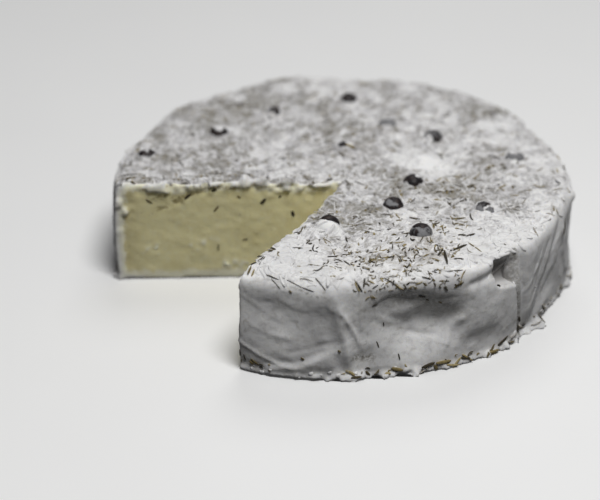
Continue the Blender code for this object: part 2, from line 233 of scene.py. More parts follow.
# Wrinkles of the side skin: kind, height, half width, places along it as (degrees round, height)
# A ridge stands up, a groove is pressed in, and a lip stands up above its line and is pressed in below
SKIN_LINES = (
    ("step", 1.3, 1.6, ((266.5, 11.5), (263, 8.6), (258.6, 5.4), (254, 4.6), (250, 3.5))),
    ("ridge", 0.4, 0.6, ((242, 13), (246.5, 10), (251.5, 6.4), (255, 4.8), (258, 4.6))),
    ("lip", 0.10, 1.6, ((244, 31), (249.5, 27.4), (254, 28.4), (258, 25.2), (264.5, 24.4))),
    ("lip", 0.10, 1.3, ((244, 28.6), (248.4, 25), (252.6, 21.4), (256, 19))),
    ("ridge", 0.15, 0.8, ((247, 19), (252, 16), (259, 14.5))),
    ("groove", 0.2, 0.9, ((255, 9.3), (260.6, 11.4), (265.2, 13.5), (268.5, 15))),
    ("ridge", 0.55, 0.6, ((265.7, 31), (266.8, 28.6), (269.2, 24.2), (271.5, 18.4), (274, 10))),
    ("ridge", 0.15, 0.5, ((266.2, 29), (265.4, 22.5), (265, 14))),
    ("ridge", 0.22, 0.5, ((273.3, 33), (273.2, 26), (273.6, 17))),
    ("step", 1.3, 0.5, ((315.3, 37), (315, 33), (315, 27.8), (315.3, 20.4), (316.4, 12.3), (317.6, 0))),
    ("groove", 1.9, 0.5, ((315.1, 33), (314.9, 27.8), (315.2, 20.4), (316.3, 12.3), (317.5, 1))),
    ("ridge", 0.9, 0.5, ((307.6, 28.6), (310.5, 29.4), (313.6, 31))),
    ("ridge", 0.22, 0.7, ((317.5, 16), (320.3, 21.6), (326.8, 30))),
    ("groove", 0.2, 0.8, ((320.3, 12), (324.2, 22), (331, 30))),
    ("ridge", 0.2, 0.7, ((323, 10), (329.2, 18.6), (338, 27))),
    ("groove", 0.18, 0.9, ((329, 8), (337, 18), (346, 27))),
    ("ridge", 0.15, 0.6, ((319, 8), (322, 14), (330, 24), (333, 31))),
    ("groove", 0.7, 1.3, ((299, 29.5), (304, 30), (309.5, 30.6))),
    ("ridge", 0.7, 1.3, ((294.2, 7.5), (295.2, 10.5), (296.8, 14.5), (299.5, 19))),
    ("groove", 0.45, 1.0, ((285, 14.5), (288.5, 12.8), (292, 12.2))),
    ("ridge", 0.25, 1.2, ((277, 22), (280.5, 19), (284, 17.5))),
    ("lip", 0.25, 1.5, ((275, 26), (280, 29), (286, 29), (292, 27), (298, 26.5))),
)
# Where herb dust greys the side, and where painted shade darkens the long crease, the mouth of a pocket and a
# broad hollow below the shoulder: half width, how much, places along it as (degrees round, height)
DUST_AND_SHADE_LINES = (
    (0.8, 1.0, ((314.9, 35), (314.9, 27.8), (315.2, 20.4), (316.3, 12.3), (317.5, 1))),
    (0.9, 1.0, ((316.6, 9.5), (317.4, 2))),
    (0.3, 0.8, ((250, 35), (256, 34.3), (262, 31.8), (266, 31.2))),
    (1.6, 0.9, ((272, 8.2), (276, 7.0))),
    (2.2, 0.8, ((308, 30.5), (311, 28.5), (314.4, 27.5))),
    (5.0, 0.34, ((275, 27), (282, 26), (290, 25), (297, 22))),
    (1.8, 0.35, ((243, 6), (246, 4.5), (250, 2))),
)
LINE_FADE = 0.14
LINE_END = 0.25
LINE_DEPTH = 1.5
LIP_SPREAD = 3.0
LIP_START = -0.2
LIP_CREST = 0.3
LIP_UNDERCUT = 0.7
STEP_SPREAD = 7.0
STEP_SUNK = 0.3

# Wrinkles of the part of the side that the tables above leave out
FAR_LINES = 30
FAR_LINE_TURNS = (338, 540)
FAR_LINE_LEVELS = (5, 30)
FAR_LINE_SLANT = (10, 75)
FAR_LINE_LENGTH = (14, 34)
FAR_LINE_BOW = 0.2
FAR_LINE_HEIGHT = (0.3, 0.9)
FAR_LINE_WIDTH = (0.7, 1.1)

# Pockets that undercut the shoulder: degrees round, height of the deepest place, depth, half width,
# how far up and how far down from there they reach, how steeply the deepest place rises
POCKETS = (
    (311.4, 26.6, 5.2, 5.0, 7.5, 2.0, -0.3),
    (96, 26.5, 1.4, 5, 4, 2, 0.2),
    (30, 28, 1.6, 4, 4, 2, 0),
)

# How sharply a pocket ends upwards, downwards and sideways
POCKET_POWERS = (2.5, 4, 8)

SKIN_HILLS = ((17, 0.50, 0), (8, 0.30, 7.3), (3.6, 0.16, 14.6), (1.7, 0.08, 21.9))
TOP_HILLS = ((12, 0.35, 2.7), (5, 0.30, 10.0), (2.4, 0.22, 17.3), (1.3, 0.10, 24.6))
PASTE_HILLS = ((14, 0.25, 4.4), (4.5, 0.10, 11.7), (2.0, 0.10, 19.0))

# The torn edge of mould round the foot. Two levels say where something starts and where it is full
FOOT_FRAY = 3.4
FOOT_FRAY_LEVELS = (3.5, 0.5)
FOOT_FLARE = 0.9
FOOT_FLARE_LEVELS = (2.8, 0.1)
FOOT_RIM = (-5, -2)
FOOT_PATCH_HILLS = ((15, 0.8, 7.7),)
# The stretch of the foot that is hardly torn: how much less, degrees round, half width
FOOT_CALM = (0.8, 252, 15)
TEETH_HILLS = ((2.6, 1, 1.3), (1.2, 0.4, 4.3))
TEETH_LIMITS = (-0.1, 1)
# The teeth are drawn out upwards: the share of the height that their pattern sees
TEETH_HEIGHT_SHARE = 0.5
FOOT_DUST = 0.22
FOOT_DUST_LEVELS = (6, 1)
FOOT_DUST_HILLS = ((4.5, 1, 6.6), (1.6, 0.5, 3.1))
FOOT_DUST_LIMITS = (-0.2, 0.7)

# What counts as top, side and cut: limits of the upward part of the surface's direction, levels
TOP_FACING = (0.55, 0.9)
SIDE_START = (0.4, 1.2)
GROUNDED = (0.0, 0.5)
CUT_TOUCH = 1.0
CUT_FACING = 0.8
FAR_FACE_REACH = 3
TOP_SUNK = 0.45
DEEPEST = 6

# The edges where the knife came through the top
CUT_EDGE_ROUND = 1.8
WORN_HILLS = ((6.0, 0.9, 4.9),)
WORN_LIMITS = (0.3, 2)
WORN_BEYOND = -1
FAR_CUT_RISE = 2.2
FAR_CUT_REACH = 10
FAR_CUT_START = (-6, 2)
FAR_CUT_LEVELS = (6, 30)
CUT_CALM = 9
CALM_SHARE = 0.3
CUT_ROUGHER = 0.8
CUT_LUMP_HILLS = ((3.4, 2.9, 6.1), (1.5, 0.8, 3.7))
CUT_LUMP_RISE = 0.87
CUT_LUMP_OFF = 0.4
CUT_LUMP_REACH = 2.6
CUT_LUMP_LEVEL = 25
CUT_LUMP_RIM = (-3, -11)
NEAR_CUT_LUMPS = 0.45

# The rind on the cut faces: how thick, how it frays, how far it stands out, and its hanging lumps
RIND_THICK = 0.5
RIND_FRAY = 0.7
FRAY_HILLS = ((2.3, 0.6, 3.1), (1.1, 0.4, 5.9))
RIND_BLUR = (0.25, 0.35)
RIND_SHOWS = (0.05, 0.4)
RIND_PROUD = 0.12
LUMP_HILLS = ((3.1, 1, 6.1), (1.5, 0.45, 3.7))
LUMP_LIMITS = (-0.12, 0.4)
LUMP_LEVELS = (15, 27)
LUMP_THICK = 1.9
LUMP_PROUD = 0.9
FAR_END_THICK = 2.4
# Where the thicker rind at the far cut's outer end starts and is full, inwards from the rim
FAR_END_REACH = (14, 2)
# Where the lumps of the far cut hang lower: how much more, how far out, half width
THICK_RIND = (0.6, 58, 16)

# The paste: creamy lumps under the rind, and the marks that the knife dragged through it
CREAM_HILLS = ((1.9, 0.8, 5.1),)
CREAM_DEPTH = 4.5
DRAG_HILLS = ((1.0, 0.03, 2.2),)
DRAG_SIZE = (11, 0.9)
DRAG_SLANT = 28

# Where the herbs crowd and where the mould is bare: x, y, reach, how much more or less
HERB_PATCHES = (
    (8, -63, 8, 0.9),
    (22, -61, 9, 1.3),
    (33, -59, 6, 1.0),
    (-4, -64, 7, 0.6),
    (-5.2, -51.1, 7, 0.35),
    (31.3, -43, 7, 0.4),
    (27, -51, 6, 0.5),
    (26.2, -12.9, 9, 0.35),
    (34.6, -16.5, 9, 0.35),
    (4.8, -33, 9, 0.25),
    (-31, -66, 5, 0.6),
    (-12, -33, 6, 0.5),
    (64.6, -23.6, 9, -1.2),
    (64.2, -44.4, 10, -1.6),
    (58, -57.6, 8, -1.6),
    (33, -69, 5, -2.4),
    (41, -67.3, 6, -2.4),
    (49.6, -60.9, 6, -1.8),
    (50, -46, 8, -0.5),
    (-5.6, -44.4, 4.2, -2.8),
    (-14, -62, 7, -0.5),
    (28.5, 6.8, 7.5, -2.8),
    (34.5, 4.0, 4.5, -2.4),
    (22.5, 8.6, 5, -2.0),
    (40.9, 18.5, 4.5, -1.8),
    (53.9, 33.8, 4.5, -1.8),
    (73.2, 3.4, 6, -2.0),
    (50.5, 8.5, 7, 0.5),
    (53, 43, 5, 0.3),
    (-6.8, 60.7, 8, 0.3),
    (17.7, 55.5, 6, 0.2),
    (17.6, -3.7, 4, 0.6),
    (37.5, -10.2, 5.5, 1.0),
    (57.2, 29.3, 8, -1.0),
    (-23.6, -9.2, 3.5, -1.0),
    (-24, -70, 6, -1.2),
    (-50.4, 13.5, 6, -0.8),
    (-67, -5.5, 5, -0.8),
)
# Where the patches take away so much that the mould is thick and white there, and how white
WHITE_LIMITS = (-1.7, -2.5)
WHITEST = 2.5

# ---- herbs ----

HERB_SEED = 7
COVER_SEED = 23
CUT_SEED = 5
TUFT_SEED = 41
LINE_SEED = 3
BERRY_SEED = 100
TOP_REACH = 77
NOTCH_MARGIN = 0.6
BERRY_MARGIN = 0.3
STEEPEST_TOP = 0.2
LEVEL_ENOUGH = 0.3
AIM_INSIDE = 4
AIM_FROM = 40

# Herbs on the top: everywhere, more towards the front between two places, more along the far cut
HERBS_ALL_OVER = 0.035
HERBS_FORWARD = ((0.10, (0, -20)), (0.14, (-30, -60)))
HERBS_BY_CUT = (0.7, (7, 2))
# The most that counts where herbs are strewn, and where they tint the ground
HERBS_MOST = 3
HERB_TINT_MOST = 2
CUT_HERB_LINE = NOTCH_POINT[1] + 3
FELT_LEVEL = 0.62
FELT_HILLS = ((13, 0.28, 0.4), (5, 0.2, 1.9))
FELT_PATCH = 0.28
# More felt towards the left: painted shade that greys the left of the top, and more half-bare needles there
FELT_AND_SHADE_LEFT = (0.12, (0, -60))
FELT_FRONT = (0.45, (-35, -62))
FELT_LEVELS = (30, 34)

NEEDLE_LIFT = 0.75
NEEDLE_SUNK = 0.25
NEEDLE_SOFTNESS = 0.3
STATIONS = (-1, -0.6, -0.2, 0.2, 0.6, 1)
STATION_WIDTHS = (0.55, 0.92, 1.0, 1.0, 0.85, 0.3)
# The section of a needle, rolled under at its edges: share of half the width, share of the thickness
NEEDLE_SECTION = ((1.0, 0.15), (0.72, 0.55), (0.0, 0.38), (-0.72, 0.55), (-1.0, 0.15), (0.0, -0.45))
# A needle under the mould, as a low hump whose edges run out into the surface
COVERED_SECTION = ((1.0, -0.5), (0.62, 0.22), (0.0, 0.55), (-0.62, 0.22), (-1.0, -0.5), (0.0, -0.9))

BARE_SHARE = 0.5
COVERED_SHARES = (0.55, 0.2)
TOP_SHORTER = (0.7, 1.0)
TOP_BEND = 0.5
TOP_CURL = (-0.8, 0.7)
SIDE_BEND = 0.4
SIDE_CURL = (-0.8, 0.8)
# On the top: how many, length, width, thickness, how far the mould covers them
BARE_ON_TOP = (210, (1.6, 4.8), (0.3, 0.65), (0.3, 0.5))
HALF_BARE_ON_TOP = (420, (1.8, 5.2), (0.3, 0.6), (0.25, 0.4), (0.6, 1.1))
CRUMBS_ON_TOP = (260, (0.8, 2.4), (0.35, 0.8), (0.3, 0.5))
COVERED_ON_TOP = (2100, (2.5, 8.0), (1.1, 2.4), (0.35, 0.75))
# On the side: how many, degrees round, heights, how steeply they fall on it, length, width,
# thickness, how level they lie
BARE_ON_SIDE = (
    (22, (268, 300), (31, 37), 0.7, (1.2, 3.6), (0.3, 0.55), (0.3, 0.45), 0.0),
    (26, (330, 541), (32, 37), 0.7, (1.5, 4), (0.35, 0.7), (0.35, 0.5), 0.0),
    (9, (-40, 182), (6, 30), 0.0, (2, 5), (0.35, 0.7), (0.35, 0.5), 0.3),
    (75, (-90, 182), (0.6, 3.0), 0.0, (2.0, 5.0), (0.5, 0.95), (0.4, 0.7), 0.45),
)
CRUMBS_ON_SIDE = (
    (90, ALL_ROUND, (0.8, 3.5), 0.2, (0.7, 2.0), (0.3, 0.7), (0.25, 0.45), 0.2),
    (14, (-30, 182), (4, 34), 0.2, (0.6, 1.3), (0.3, 0.55), (0.2, 0.35), 0.2),
    (60, (274, 298), (29, 36), 0.5, (0.6, 2.0), (0.3, 0.6), (0.2, 0.4), 0.2),
)
# The same under the mould, with how far they stand out of it in front
COVERED_SUNK = -0.05
COVERED_FELT_LEVELS = (31, 35)
COVERED_ON_SIDE = (
    (COVERED_SUNK, 150, ALL_ROUND, (33, 37), 0.7, (3, 7), (0.9, 1.7), (0.4, 0.8), 0.0),
    (-0.3, 10, ALL_ROUND, (5, 31), 0.0, (2, 6), (0.8, 1.4), (0.3, 0.5), 0.3),
)

# ---- pieces on the cut faces and along the foot ----

FACE_AIM = 9
FLECKS = 6
FLECK_SUNK = -0.1
FLECK_OUT = (4, 68)
FLECK_LEVELS = (9, 34)
FLECK_LENGTH = (0.8, 3.0)
FLECK_WIDTH = (0.4, 0.9)
FLECK_THICK = 0.35
FLECK_TINT = (0.1, 0.55)
FACE_FLECK_THICK = 0.4
# Flecks in places of their own on the far cut face: (out, height) at both ends, width, tint
FACE_FLECKS = (
    ((28.6, 29.2), (26.7, 31.3), 1.2, 0.15),
    ((17.7, 26.3), (17.2, 23.9), 1.2, 0.15),
    ((54.7, 31.5), (52.2, 33.7), 1.1, 0.3),
    ((45.4, 34.6), (43.5, 35.0), 0.9, 0.35),
    ((36.7, 32.5), (35.3, 31.7), 0.6, 0.6),
)
# Where the curd broke into lumps at the cut: how far out, how high, half width, half height
CURD_SPOTS = (
    (21, 9, 6, 3),
    (38, 6, 7, 2.5),
    (49, 14, 6, 3),
    (66, 12, 4, 3),
)
CURD_HILLS = ((1.9, 1, 8.8), (1.0, 0.5, 9.1))
CURD_LIMITS = (-0.1, 0.6)
CURD_RISE = 0.25
CURD_GRAINS = 2
GRAIN_LOWEST = 1.2
GRAIN_SIZE = (0.3, 1.0)
GRAIN_WIDTH = (0.5, 0.9)
GRAIN_HEIGHT = 0.25
# Brown stains at the top of the far cut face: how far out, how high, half width, half height, rise
BROWN_STAINS = (
    (62.5, 33.0, 4.5, 1.4, -0.42),
    (52.3, 33.4, 6.5, 1.4, -0.31),
    (62.4, 28.3, 3.2, 1.0, -0.2),
    (57, 30.5, 3.0, 1.0, 0.2),
    (38, 36.0, 8, 0.8, 0),
    (22, 36.0, 5, 0.6, 0),
)
STAIN_REACH = 2
STAIN_DENT = 0.12
STAIN_HILLS = ((1.2, 3, 2.9),)
TUFTS = 90
TUFT_LEVELS = (0.5, 3.0)
TUFT_MARGIN = 0.5
TUFT_SIZE = (0.5, 1.5)
TUFT_SHAPE = (1, 0.7, 0.45)
TUFT_TINT = (0.3, 0.5)
# A small lump from below to above: height and width as shares of its own
BALL_PROFILE = ((-0.6, 1.0), (0.0, 1.0), (0.4, 0.8), (0.6, 0.4))
BALL_SIDES = 6

# ---- needles in places of their own ----

# Shares of the width that the needles below get in width and thickness, and how the mould covers them
SIDE_SHARES = (0.8, 0.55, 0.25)
TOP_SHARES = (0.85, 0.6, 0.2)
# Above this height they fall on the shoulder from above, as steeply as this
SHOULDER_LEVEL = 28
SHOULDER_SLOPE = 0.5

# On the side: (degrees, height) at both ends, width, tint
SIDE_NEEDLES = (
    ((279, 36.1), (283.4, 30.5), 0.6, 0.05),
    ((250.5, 35.2), (253.8, 33.6), 0.5, 0.1),
    ((254.5, 34.9), (259.5, 32.4), 0.4, 0.15),
    ((259.5, 32.2), (262.5, 31.4), 0.4, 0.1),
    ((262.5, 36.2), (265, 31.8), 0.5, 0.2),
    ((252, 34.2), (254.5, 31.0), 0.35, 0.2),
    ((272, 35), (273.4, 31.5), 0.8, 0.15),
    ((283.4, 33.0), (284.2, 31.0), 0.5, 0.3),
    ((288, 34.5), (291, 32.8), 0.6, 0.05),
    ((295, 35), (298.5, 33.2), 0.55, 0.1),
    ((317.2, 8.2), (317.6, 5.8), 1.0, 0.1),
    ((317.3, 4.8), (317.0, 1.8), 1.3, 0.1),
    ((280.9, 2.9), (283.6, 1.8), 1.5, 0.78),
    ((287.8, 2.4), (291.4, 2.8), 1.4, 0.3),
    ((291.6, 2.8), (295.6, 2.4), 1.4, 0.8),
    ((291.4, 2.2), (291.9, 0.3), 1.5, 0.55),
    ((305.8, 0.9), (309.0, 1.1), 1.7, 0.8),
    ((309.0, 2.4), (312.4, 4.0), 1.2, 0.3),
    ((274.6, 2.6), (275.6, 1.0), 1.0, 0.45),
    ((277.2, 13), (277.8, 10.6), 0.5, 0.1),
    ((259.5, 8.6), (260.3, 7.8), 0.8, 0.6),
    ((268, 11.6), (268.7, 11), 0.8, 0.6),
    ((256.6, 30.8), (257.3, 30.1), 0.7, 0.6),
    ((247.6, 5.6), (249.6, 3.4), 0.9, 0.6),
    ((244.2, 5.2), (244.4, 3.2), 0.8, 0.4),
    ((244.6, 7.6), (245.0, 5.2), 0.7, 0.1),
    ((245.8, 6.4), (246.2, 4.2), 0.6, 0.15),
    ((247.4, 4.6), (248.2, 3.4), 1.2, 0.8),
    ((243.2, 2.6), (243.6, 1.0), 0.9, 0.6),
    ((274.3, 36.0), (273.7, 32.8), 0.8, 0.1),
    ((275.9, 26.6), (277.3, 26.9), 0.5, 0.05),
    ((275.9, 32.4), (277.3, 33.4), 0.5, 0.1),
    ((287.6, 27.8), (289.3, 27.0), 0.8, 0.0),
    ((289.6, 26.0), (290.3, 25.3), 0.6, 0.3),
    ((292.5, 24.9), (293.4, 24.1), 0.7, 0.4),
    ((293.1, 29.5), (294.0, 28.0), 0.8, 0.0),
    ((295.5, 28.5), (298.0, 29.8), 0.6, 0.55),
    ((278.9, 19.4), (279.1, 17.7), 0.5, 0.1),
    ((282.6, 7.6), (282.9, 5.4), 0.6, 0.1),
)

# On the top: (x, y) at both ends, width, tint
TOP_NEEDLES = (
    ((1.1, 14.4), (4.6, 12.7), 1.1, 0.85),
    ((39.7, -52.8), (44, -57.5), 0.5, 0.75),
    ((34.9, -57.2), (39.4, -54.3), 1.1, 0.15),
    ((31.8, -56.8), (32.4, -66.3), 1.0, 0.05),
    ((29.7, -60.1), (31.6, -56.4), 0.9, 0.15),
    ((34.7, -63.2), (37.8, -62.6), 0.8, 0.2),
    ((26.9, -62.2), (30, -63.2), 0.7, 0.7),
    ((24.7, -61.8), (26.7, -59.7), 0.7, 0.7),
    ((28.2, -57.2), (30.3, -57.6), 0.5, 0.1),
    ((50.5, -50.9), (53, -53.9), 0.4, 0.3),
    ((48.5, -54.7), (49.8, -57.2), 0.4, 0.3),
    ((21.1, -57.2), (22.6, -55.6), 0.5, 0.1),
    ((22.9, -56.8), (23.6, -59.6), 0.5, 0.1),
    ((48.9, -63), (50.2, -62.2), 0.9, 0.05),
    ((29.8, -40.2), (28.9, -43.5), 0.7, 0.7),
    ((35.4, -35), (40.6, -34.6), 0.8, 0.6),
    ((36.4, -39.4), (39.7, -40.7), 0.8, 0.65),
    ((19.7, -62.2), (21.3, -64.6), 0.5, 0.1),
    ((36.9, -48), (39.6, -48), 0.9, 0.3),
    ((39.6, -48.8), (42.7, -46.3), 0.8, 0.2),
    ((-1.3, -59.1), (2.4, -59.4), 0.5, 0.2),
    ((-5.4, -66), (-1.8, -64.5), 0.45, 0.1),
    ((-0.9, -64.2), (1.1, -67.2), 0.6, 0.1),
    ((3.1, -67.6), (6.7, -68.3), 0.6, 0.1),
    ((8, -67.6), (9.2, -65.4), 0.45, 0.1),
    ((2.7, -64.5), (3.6, -63.2), 0.9, 0.05),
    ((7.3, -62.7), (9.3, -63.2), 0.8, 0.6),
    ((-7.7, -66.8), (-6.1, -68.5), 0.4, 0.2),
    ((-17.4, -55.9), (-14, -56.6), 0.45, 0.25),
    ((-24.5, -55.9), (-22.9, -57.3), 1.0, 0.1),
    ((7.5, -61.4), (8.1, -64.5), 0.6, 0.5),
    ((16.8, -62.3), (17.3, -65.4), 0.6, 0.6),
    ((10.3, -58.6), (11.2, -60.9), 0.4, 0.1),
    ((19.8, -61.4), (21, -64.1), 0.5, 0.1),
    ((15.3, -53.1), (15, -56.4), 0.4, 0.3),
    ((-7.5, -49.4), (-4.8, -51.7), 0.6, 0.6),
    ((-28.2, -66.8), (-26, -63.2), 0.5, 0.2),
    ((-31.6, -71.5), (-30.8, -67.5), 0.8, 0.55),
    ((-30.4, -72), (-29.6, -68.8), 0.7, 0.8),
    ((-30.8, -67.2), (-28.9, -65.2), 0.6, 0.1),
    ((-28.8, -63.6), (-27.1, -62.1), 0.6, 0.15),
    ((-25.4, -58.9), (-23.8, -57.6), 0.5, 0.1),
)

# ---- colours, lights and camera ----

BOX_MARGIN = 0.005

RIND_WHITE = (0.88, 0.875, 0.865)
RIND_COOL = (0.74, 0.735, 0.735)
RIND_GREY = (0.48, 0.47, 0.465)
# Painted shade that darkens the deep pockets of the side
POCKET_SHADE = (0.26, 0.25, 0.24)
HERB_STAIN = (0.40, 0.37, 0.32)
COVERED_GREY = (0.43, 0.41, 0.385)
COVERED_TINTS = (
    (0.0, (0.88, 0.875, 0.865)),
    (0.4, (0.77, 0.765, 0.76)),
    (0.6, (0.57, 0.56, 0.56)),
    (0.82, (0.36, 0.34, 0.30)),
    (1.0, (0.25, 0.215, 0.15)),
)
FELT_GREY = (0.52, 0.51, 0.515)
FELT_TINTS = (
    (0.0, (0.90, 0.895, 0.885)),
    (0.35, (0.70, 0.69, 0.69)),
    (0.62, (0.49, 0.48, 0.485)),
    (0.85, (0.345, 0.335, 0.32)),
    (1.0, (0.23, 0.215, 0.18)),
)
# Herb dust, and also painted shade in creases and hollows of the side
DUST_AND_SHADE = (0.17, 0.155, 0.12)
PASTE_LIGHT = (0.95, 0.875, 0.50)
PASTE_DEEP = (0.87, 0.79, 0.43)
PASTE_PALE = (0.97, 0.92, 0.63)
PASTE_BROWN = (0.46, 0.38, 0.17)
PASTE_STAIN = (0.25, 0.185, 0.05)
CREAM = (0.97, 0.94, 0.74)
CUT_RIND = (0.96, 0.945, 0.87)
OCHRE = (0.60, 0.36, 0.08)
CURD_WHITE = (0.88, 0.85, 0.68)
HERB_TINTS = (
    (0.0, (0.022, 0.019, 0.015)),
    (0.35, (0.05, 0.04, 0.022)),
    (0.6, (0.16, 0.125, 0.052)),
    (0.82, (0.33, 0.26, 0.115)),
    (1.0, (0.42, 0.36, 0.22)),
)
HERB_PALE = (0.50, 0.46, 0.36)
BERRY_DARK = (0.014, 0.012, 0.014)
BERRY_BROWN = (0.045, 0.033, 0.03)
BERRY_BLOOM = (0.25, 0.25, 0.258)
MOUND_WHITE = (0.93, 0.925, 0.91)
FLOOR_LIGHT = (0.93, 0.93, 0.925)
FLOOR_SHADE = (0.90, 0.90, 0.895)
FLOOR_GAP = 0.05
FLOOR_SIZE = 3

LIGHT_AIM = (0, 0, 0.02)
KEY_PLACE = (0.14, -0.345, 0.915)
KEY_SIZE = 0.40
KEY_POWER = 6.8
BACK_PLACE = (0.10, 0.50, 0.75)
BACK_SIZE = 0.5
BACK_POWER = 1.5
ROOM_LIGHT = 0.055

CAMERA_LENS = 123.58
CAMERA_PLACE = (-0.01499, -0.63699, 0.36925)
CAMERA_AIM = (-0.01499, -0.01287, 0.01026)
CAMERA_STOP = 7.6
CAMERA_SENSOR = 36
CAMERA_NEAR = 0.01
FOCUS_PLACE = (0, -0.056, 0.034)

# ---- numbers that vary smoothly from place to place ----

LATTICE_SIDE = 48
LATTICE = np.random.default_rng(11).uniform(-1, 1, (LATTICE_SIDE,) * 3)


def hills(places, size, shift=0.0):
    """Smooth random values from -1 to 1 that rise and fall over about this size."""
    place = places / size + shift
    cell = np.floor(place).astype(int)
    share = place - cell
    share = share * share * (3 - 2 * share)
    total = np.zeros(len(places))
    for corner in itertools.product((0, 1), repeat=3):
        weight = np.prod(np.where(corner, share, 1 - share), axis=1)
        at = (cell + corner) % LATTICE_SIDE
        total += weight * LATTICE[at[:, 0], at[:, 1], at[:, 2]]
    return total


def rough(places, table, shift=0.0):
    """Hills of several sizes on top of each other."""
    return sum(height * hills(places, size, start + shift) for size, height, start in table)


def bell(distance, half_width):
    return np.exp(-((distance / half_width) ** 2))


def ease(low, high, value):
    share = np.clip((value - low) / (high - low), 0, 1)
    return share * share * (3 - 2 * share)


def turn_between(angle, centre):
    """The smallest turn from centre to angle, in degrees."""
    return (angle - centre + 180) % 360 - 180


def along_rim(angle, centre):
    """How far apart two places on the rim are, measured round it."""
    return np.radians(turn_between(angle, centre)) * WHEEL_RADIUS


# ---- the shape of the wheel ----


def flattening(angle):
    """How far the outline lies inside the true circle."""
    return sum(depth * bell(turn_between(angle, middle), half) for middle, depth, half in FLAT_SPOTS)


def side_dent(angle, height):
    """How far the side is pressed in at this place, by dents and folds together."""
    pressed = np.zeros_like(angle)
    for middle, level, depth, half_width, half_height in SIDE_DENTS:
        pressed += depth * bell(along_rim(angle, middle), half_width) * bell(height - level, half_height)
    for top, foot, depth, half_width in SIDE_FOLDS:
        middle = foot + (top - foot) * height / WHEEL_HEIGHT
        pressed += depth * bell(along_rim(angle, middle), half_width)
    return pressed


def top_relief(x, y):
    """How far the top stands above a flat one."""
    rise = -TOP_SAG * (1 - ease(0, WHEEL_RADIUS, np.hypot(x, y)))
    for length, direction, phase, height in TOP_WAVES:
        turn = math.radians(direction)
        way = x * math.cos(turn) + y * math.sin(turn)
        rise = rise + height * np.sin(2 * math.pi * way / length + phase)
    return rise


def slumped(points):
    """Where the points of the true turned wheel lie on the soft one."""
    x, y, z = points.T
    radius = np.hypot(x, y)
    angle = np.degrees(np.arctan2(y, x))
    outness = radius / WHEEL_RADIUS
    pressed = flattening(angle) * outness
    pressed += side_dent(angle, z) * ease(*DENTED_BAND, outness) * ease(0, FOOT_ROUND, z)
    scale = 1 - pressed / np.maximum(radius, SMALL)
    x, y = x * scale, y * scale
    on_top = ease(WHEEL_HEIGHT - SHOULDER_ROUND, WHEEL_HEIGHT, z)
    return np.column_stack((x, y, z + on_top * top_relief(x, y)))


def arc(centre_radius, centre_height, size, start, end, steps):
    """Points of an arc in the half section, from start to end degrees."""
    for step in range(steps + 1):
        turn = math.radians(start + (end - start) * step / steps)
        yield centre_radius + size * math.cos(turn), centre_height + size * math.sin(turn)


def wheel_section():
    """The half section of the wheel: out along the top, down the side and back under the foot."""
    shoulder = WHEEL_RADIUS - SHOULDER_ROUND, WHEEL_HEIGHT - SHOULDER_ROUND
    foot = WHEEL_RADIUS - FOOT_ROUND, FOOT_ROUND
    points = [(radius, WHEEL_HEIGHT) for radius in np.arange(0, shoulder[0] - TOP_STEP / 2, TOP_STEP)]
    points += arc(*shoulder, SHOULDER_ROUND, 90, 0, SHOULDER_STEPS)
    for row in range(1, SIDE_STEPS):
        down = row / SIDE_STEPS
        height = shoulder[1] + (foot[1] - shoulder[1]) * down
        points.append((WHEEL_RADIUS + SIDE_BELLY * math.sin(math.pi * down), height))
    points += arc(*foot, FOOT_ROUND, 0, -90, FOOT_STEPS)
    points.append((0.0, 0.0))
    return points


# ---- meshes ----


def read_points(mesh):
    """A mesh's points in millimetres."""
    flat = np.empty(len(mesh.vertices) * 3)
    mesh.vertices.foreach_get("co", flat)
    return flat.reshape(-1, 3) / MM


def read_normals(mesh):
    flat = np.empty(len(mesh.vertices) * 3)
    mesh.vertices.foreach_get("normal", flat)
    return flat.reshape(-1, 3)


def write_points(mesh, points):
    mesh.vertices.foreach_set("co", (points * MM).ravel())
    mesh.update()


def mark(mesh, name, values):
    """Gives each point of a mesh a number that its material can read by this name."""
    layer = mesh.attributes.new(name, "FLOAT", "POINT")
    layer.data.foreach_set("value", np.asarray(values, dtype=float))


def place(name, mesh):
    thing = bpy.data.objects.new(name, mesh)
    bpy.context.scene.collection.objects.link(thing)
    return thing


def bake_modifiers(thing):
    """Gives an object the mesh that its modifiers make, and takes the modifiers off."""
    graph = bpy.context.evaluated_depsgraph_get()
    mesh = bpy.data.meshes.new_from_object(thing.evaluated_get(graph))
    thing.modifiers.clear()
    old = thing.data
    thing.data = mesh
    bpy.data.meshes.remove(old)


def mesh_from(build, name):
    """A mesh that the function build fills in, through bmesh."""
    work = bmesh.new()
    build(work)
    mesh = bpy.data.meshes.new(name)
    work.to_mesh(mesh)
    work.free()
    return mesh


def inside_box(points):
    """The points, moved back where they would leave the box of the solids."""
    low, high = np.array(CAD_LOW) / MM, np.array(CAD_HIGH) / MM
    return np.clip(points, low + BOX_MARGIN, high - BOX_MARGIN)


def surface_of(points, mesh):
    """A mesh's surface, in millimetres, that places can be dropped on to."""
    return BVHTree.FromPolygons(points.tolist(), [tuple(face.vertices) for face in mesh.polygons])


# ---- the cheese ----


def stroke_way(turn):
    """The level direction in which a knife stroke runs out from the point of the notch."""
    return np.array((math.cos(math.radians(turn)), math.sin(math.radians(turn))))


def turned_wheel():
    def outline(work):
        dots = [work.verts.new((radius * MM, 0, height * MM)) for radius, height in wheel_section()]
        for first, second in zip(dots, dots[1:]):
            work.edges.new((first, second))

    wheel = place("cheese_body", mesh_from(outline, "cheese_body"))
    screw = wheel.modifiers.new("turned", "SCREW")
    screw.steps = TURN_STEPS
    screw.render_steps = TURN_STEPS
    screw.use_merge_vertices = True
    screw.merge_threshold = 0.00001
    bake_modifiers(wheel)
    write_points(wheel.data, slumped(read_points(wheel.data)))
    return wheel


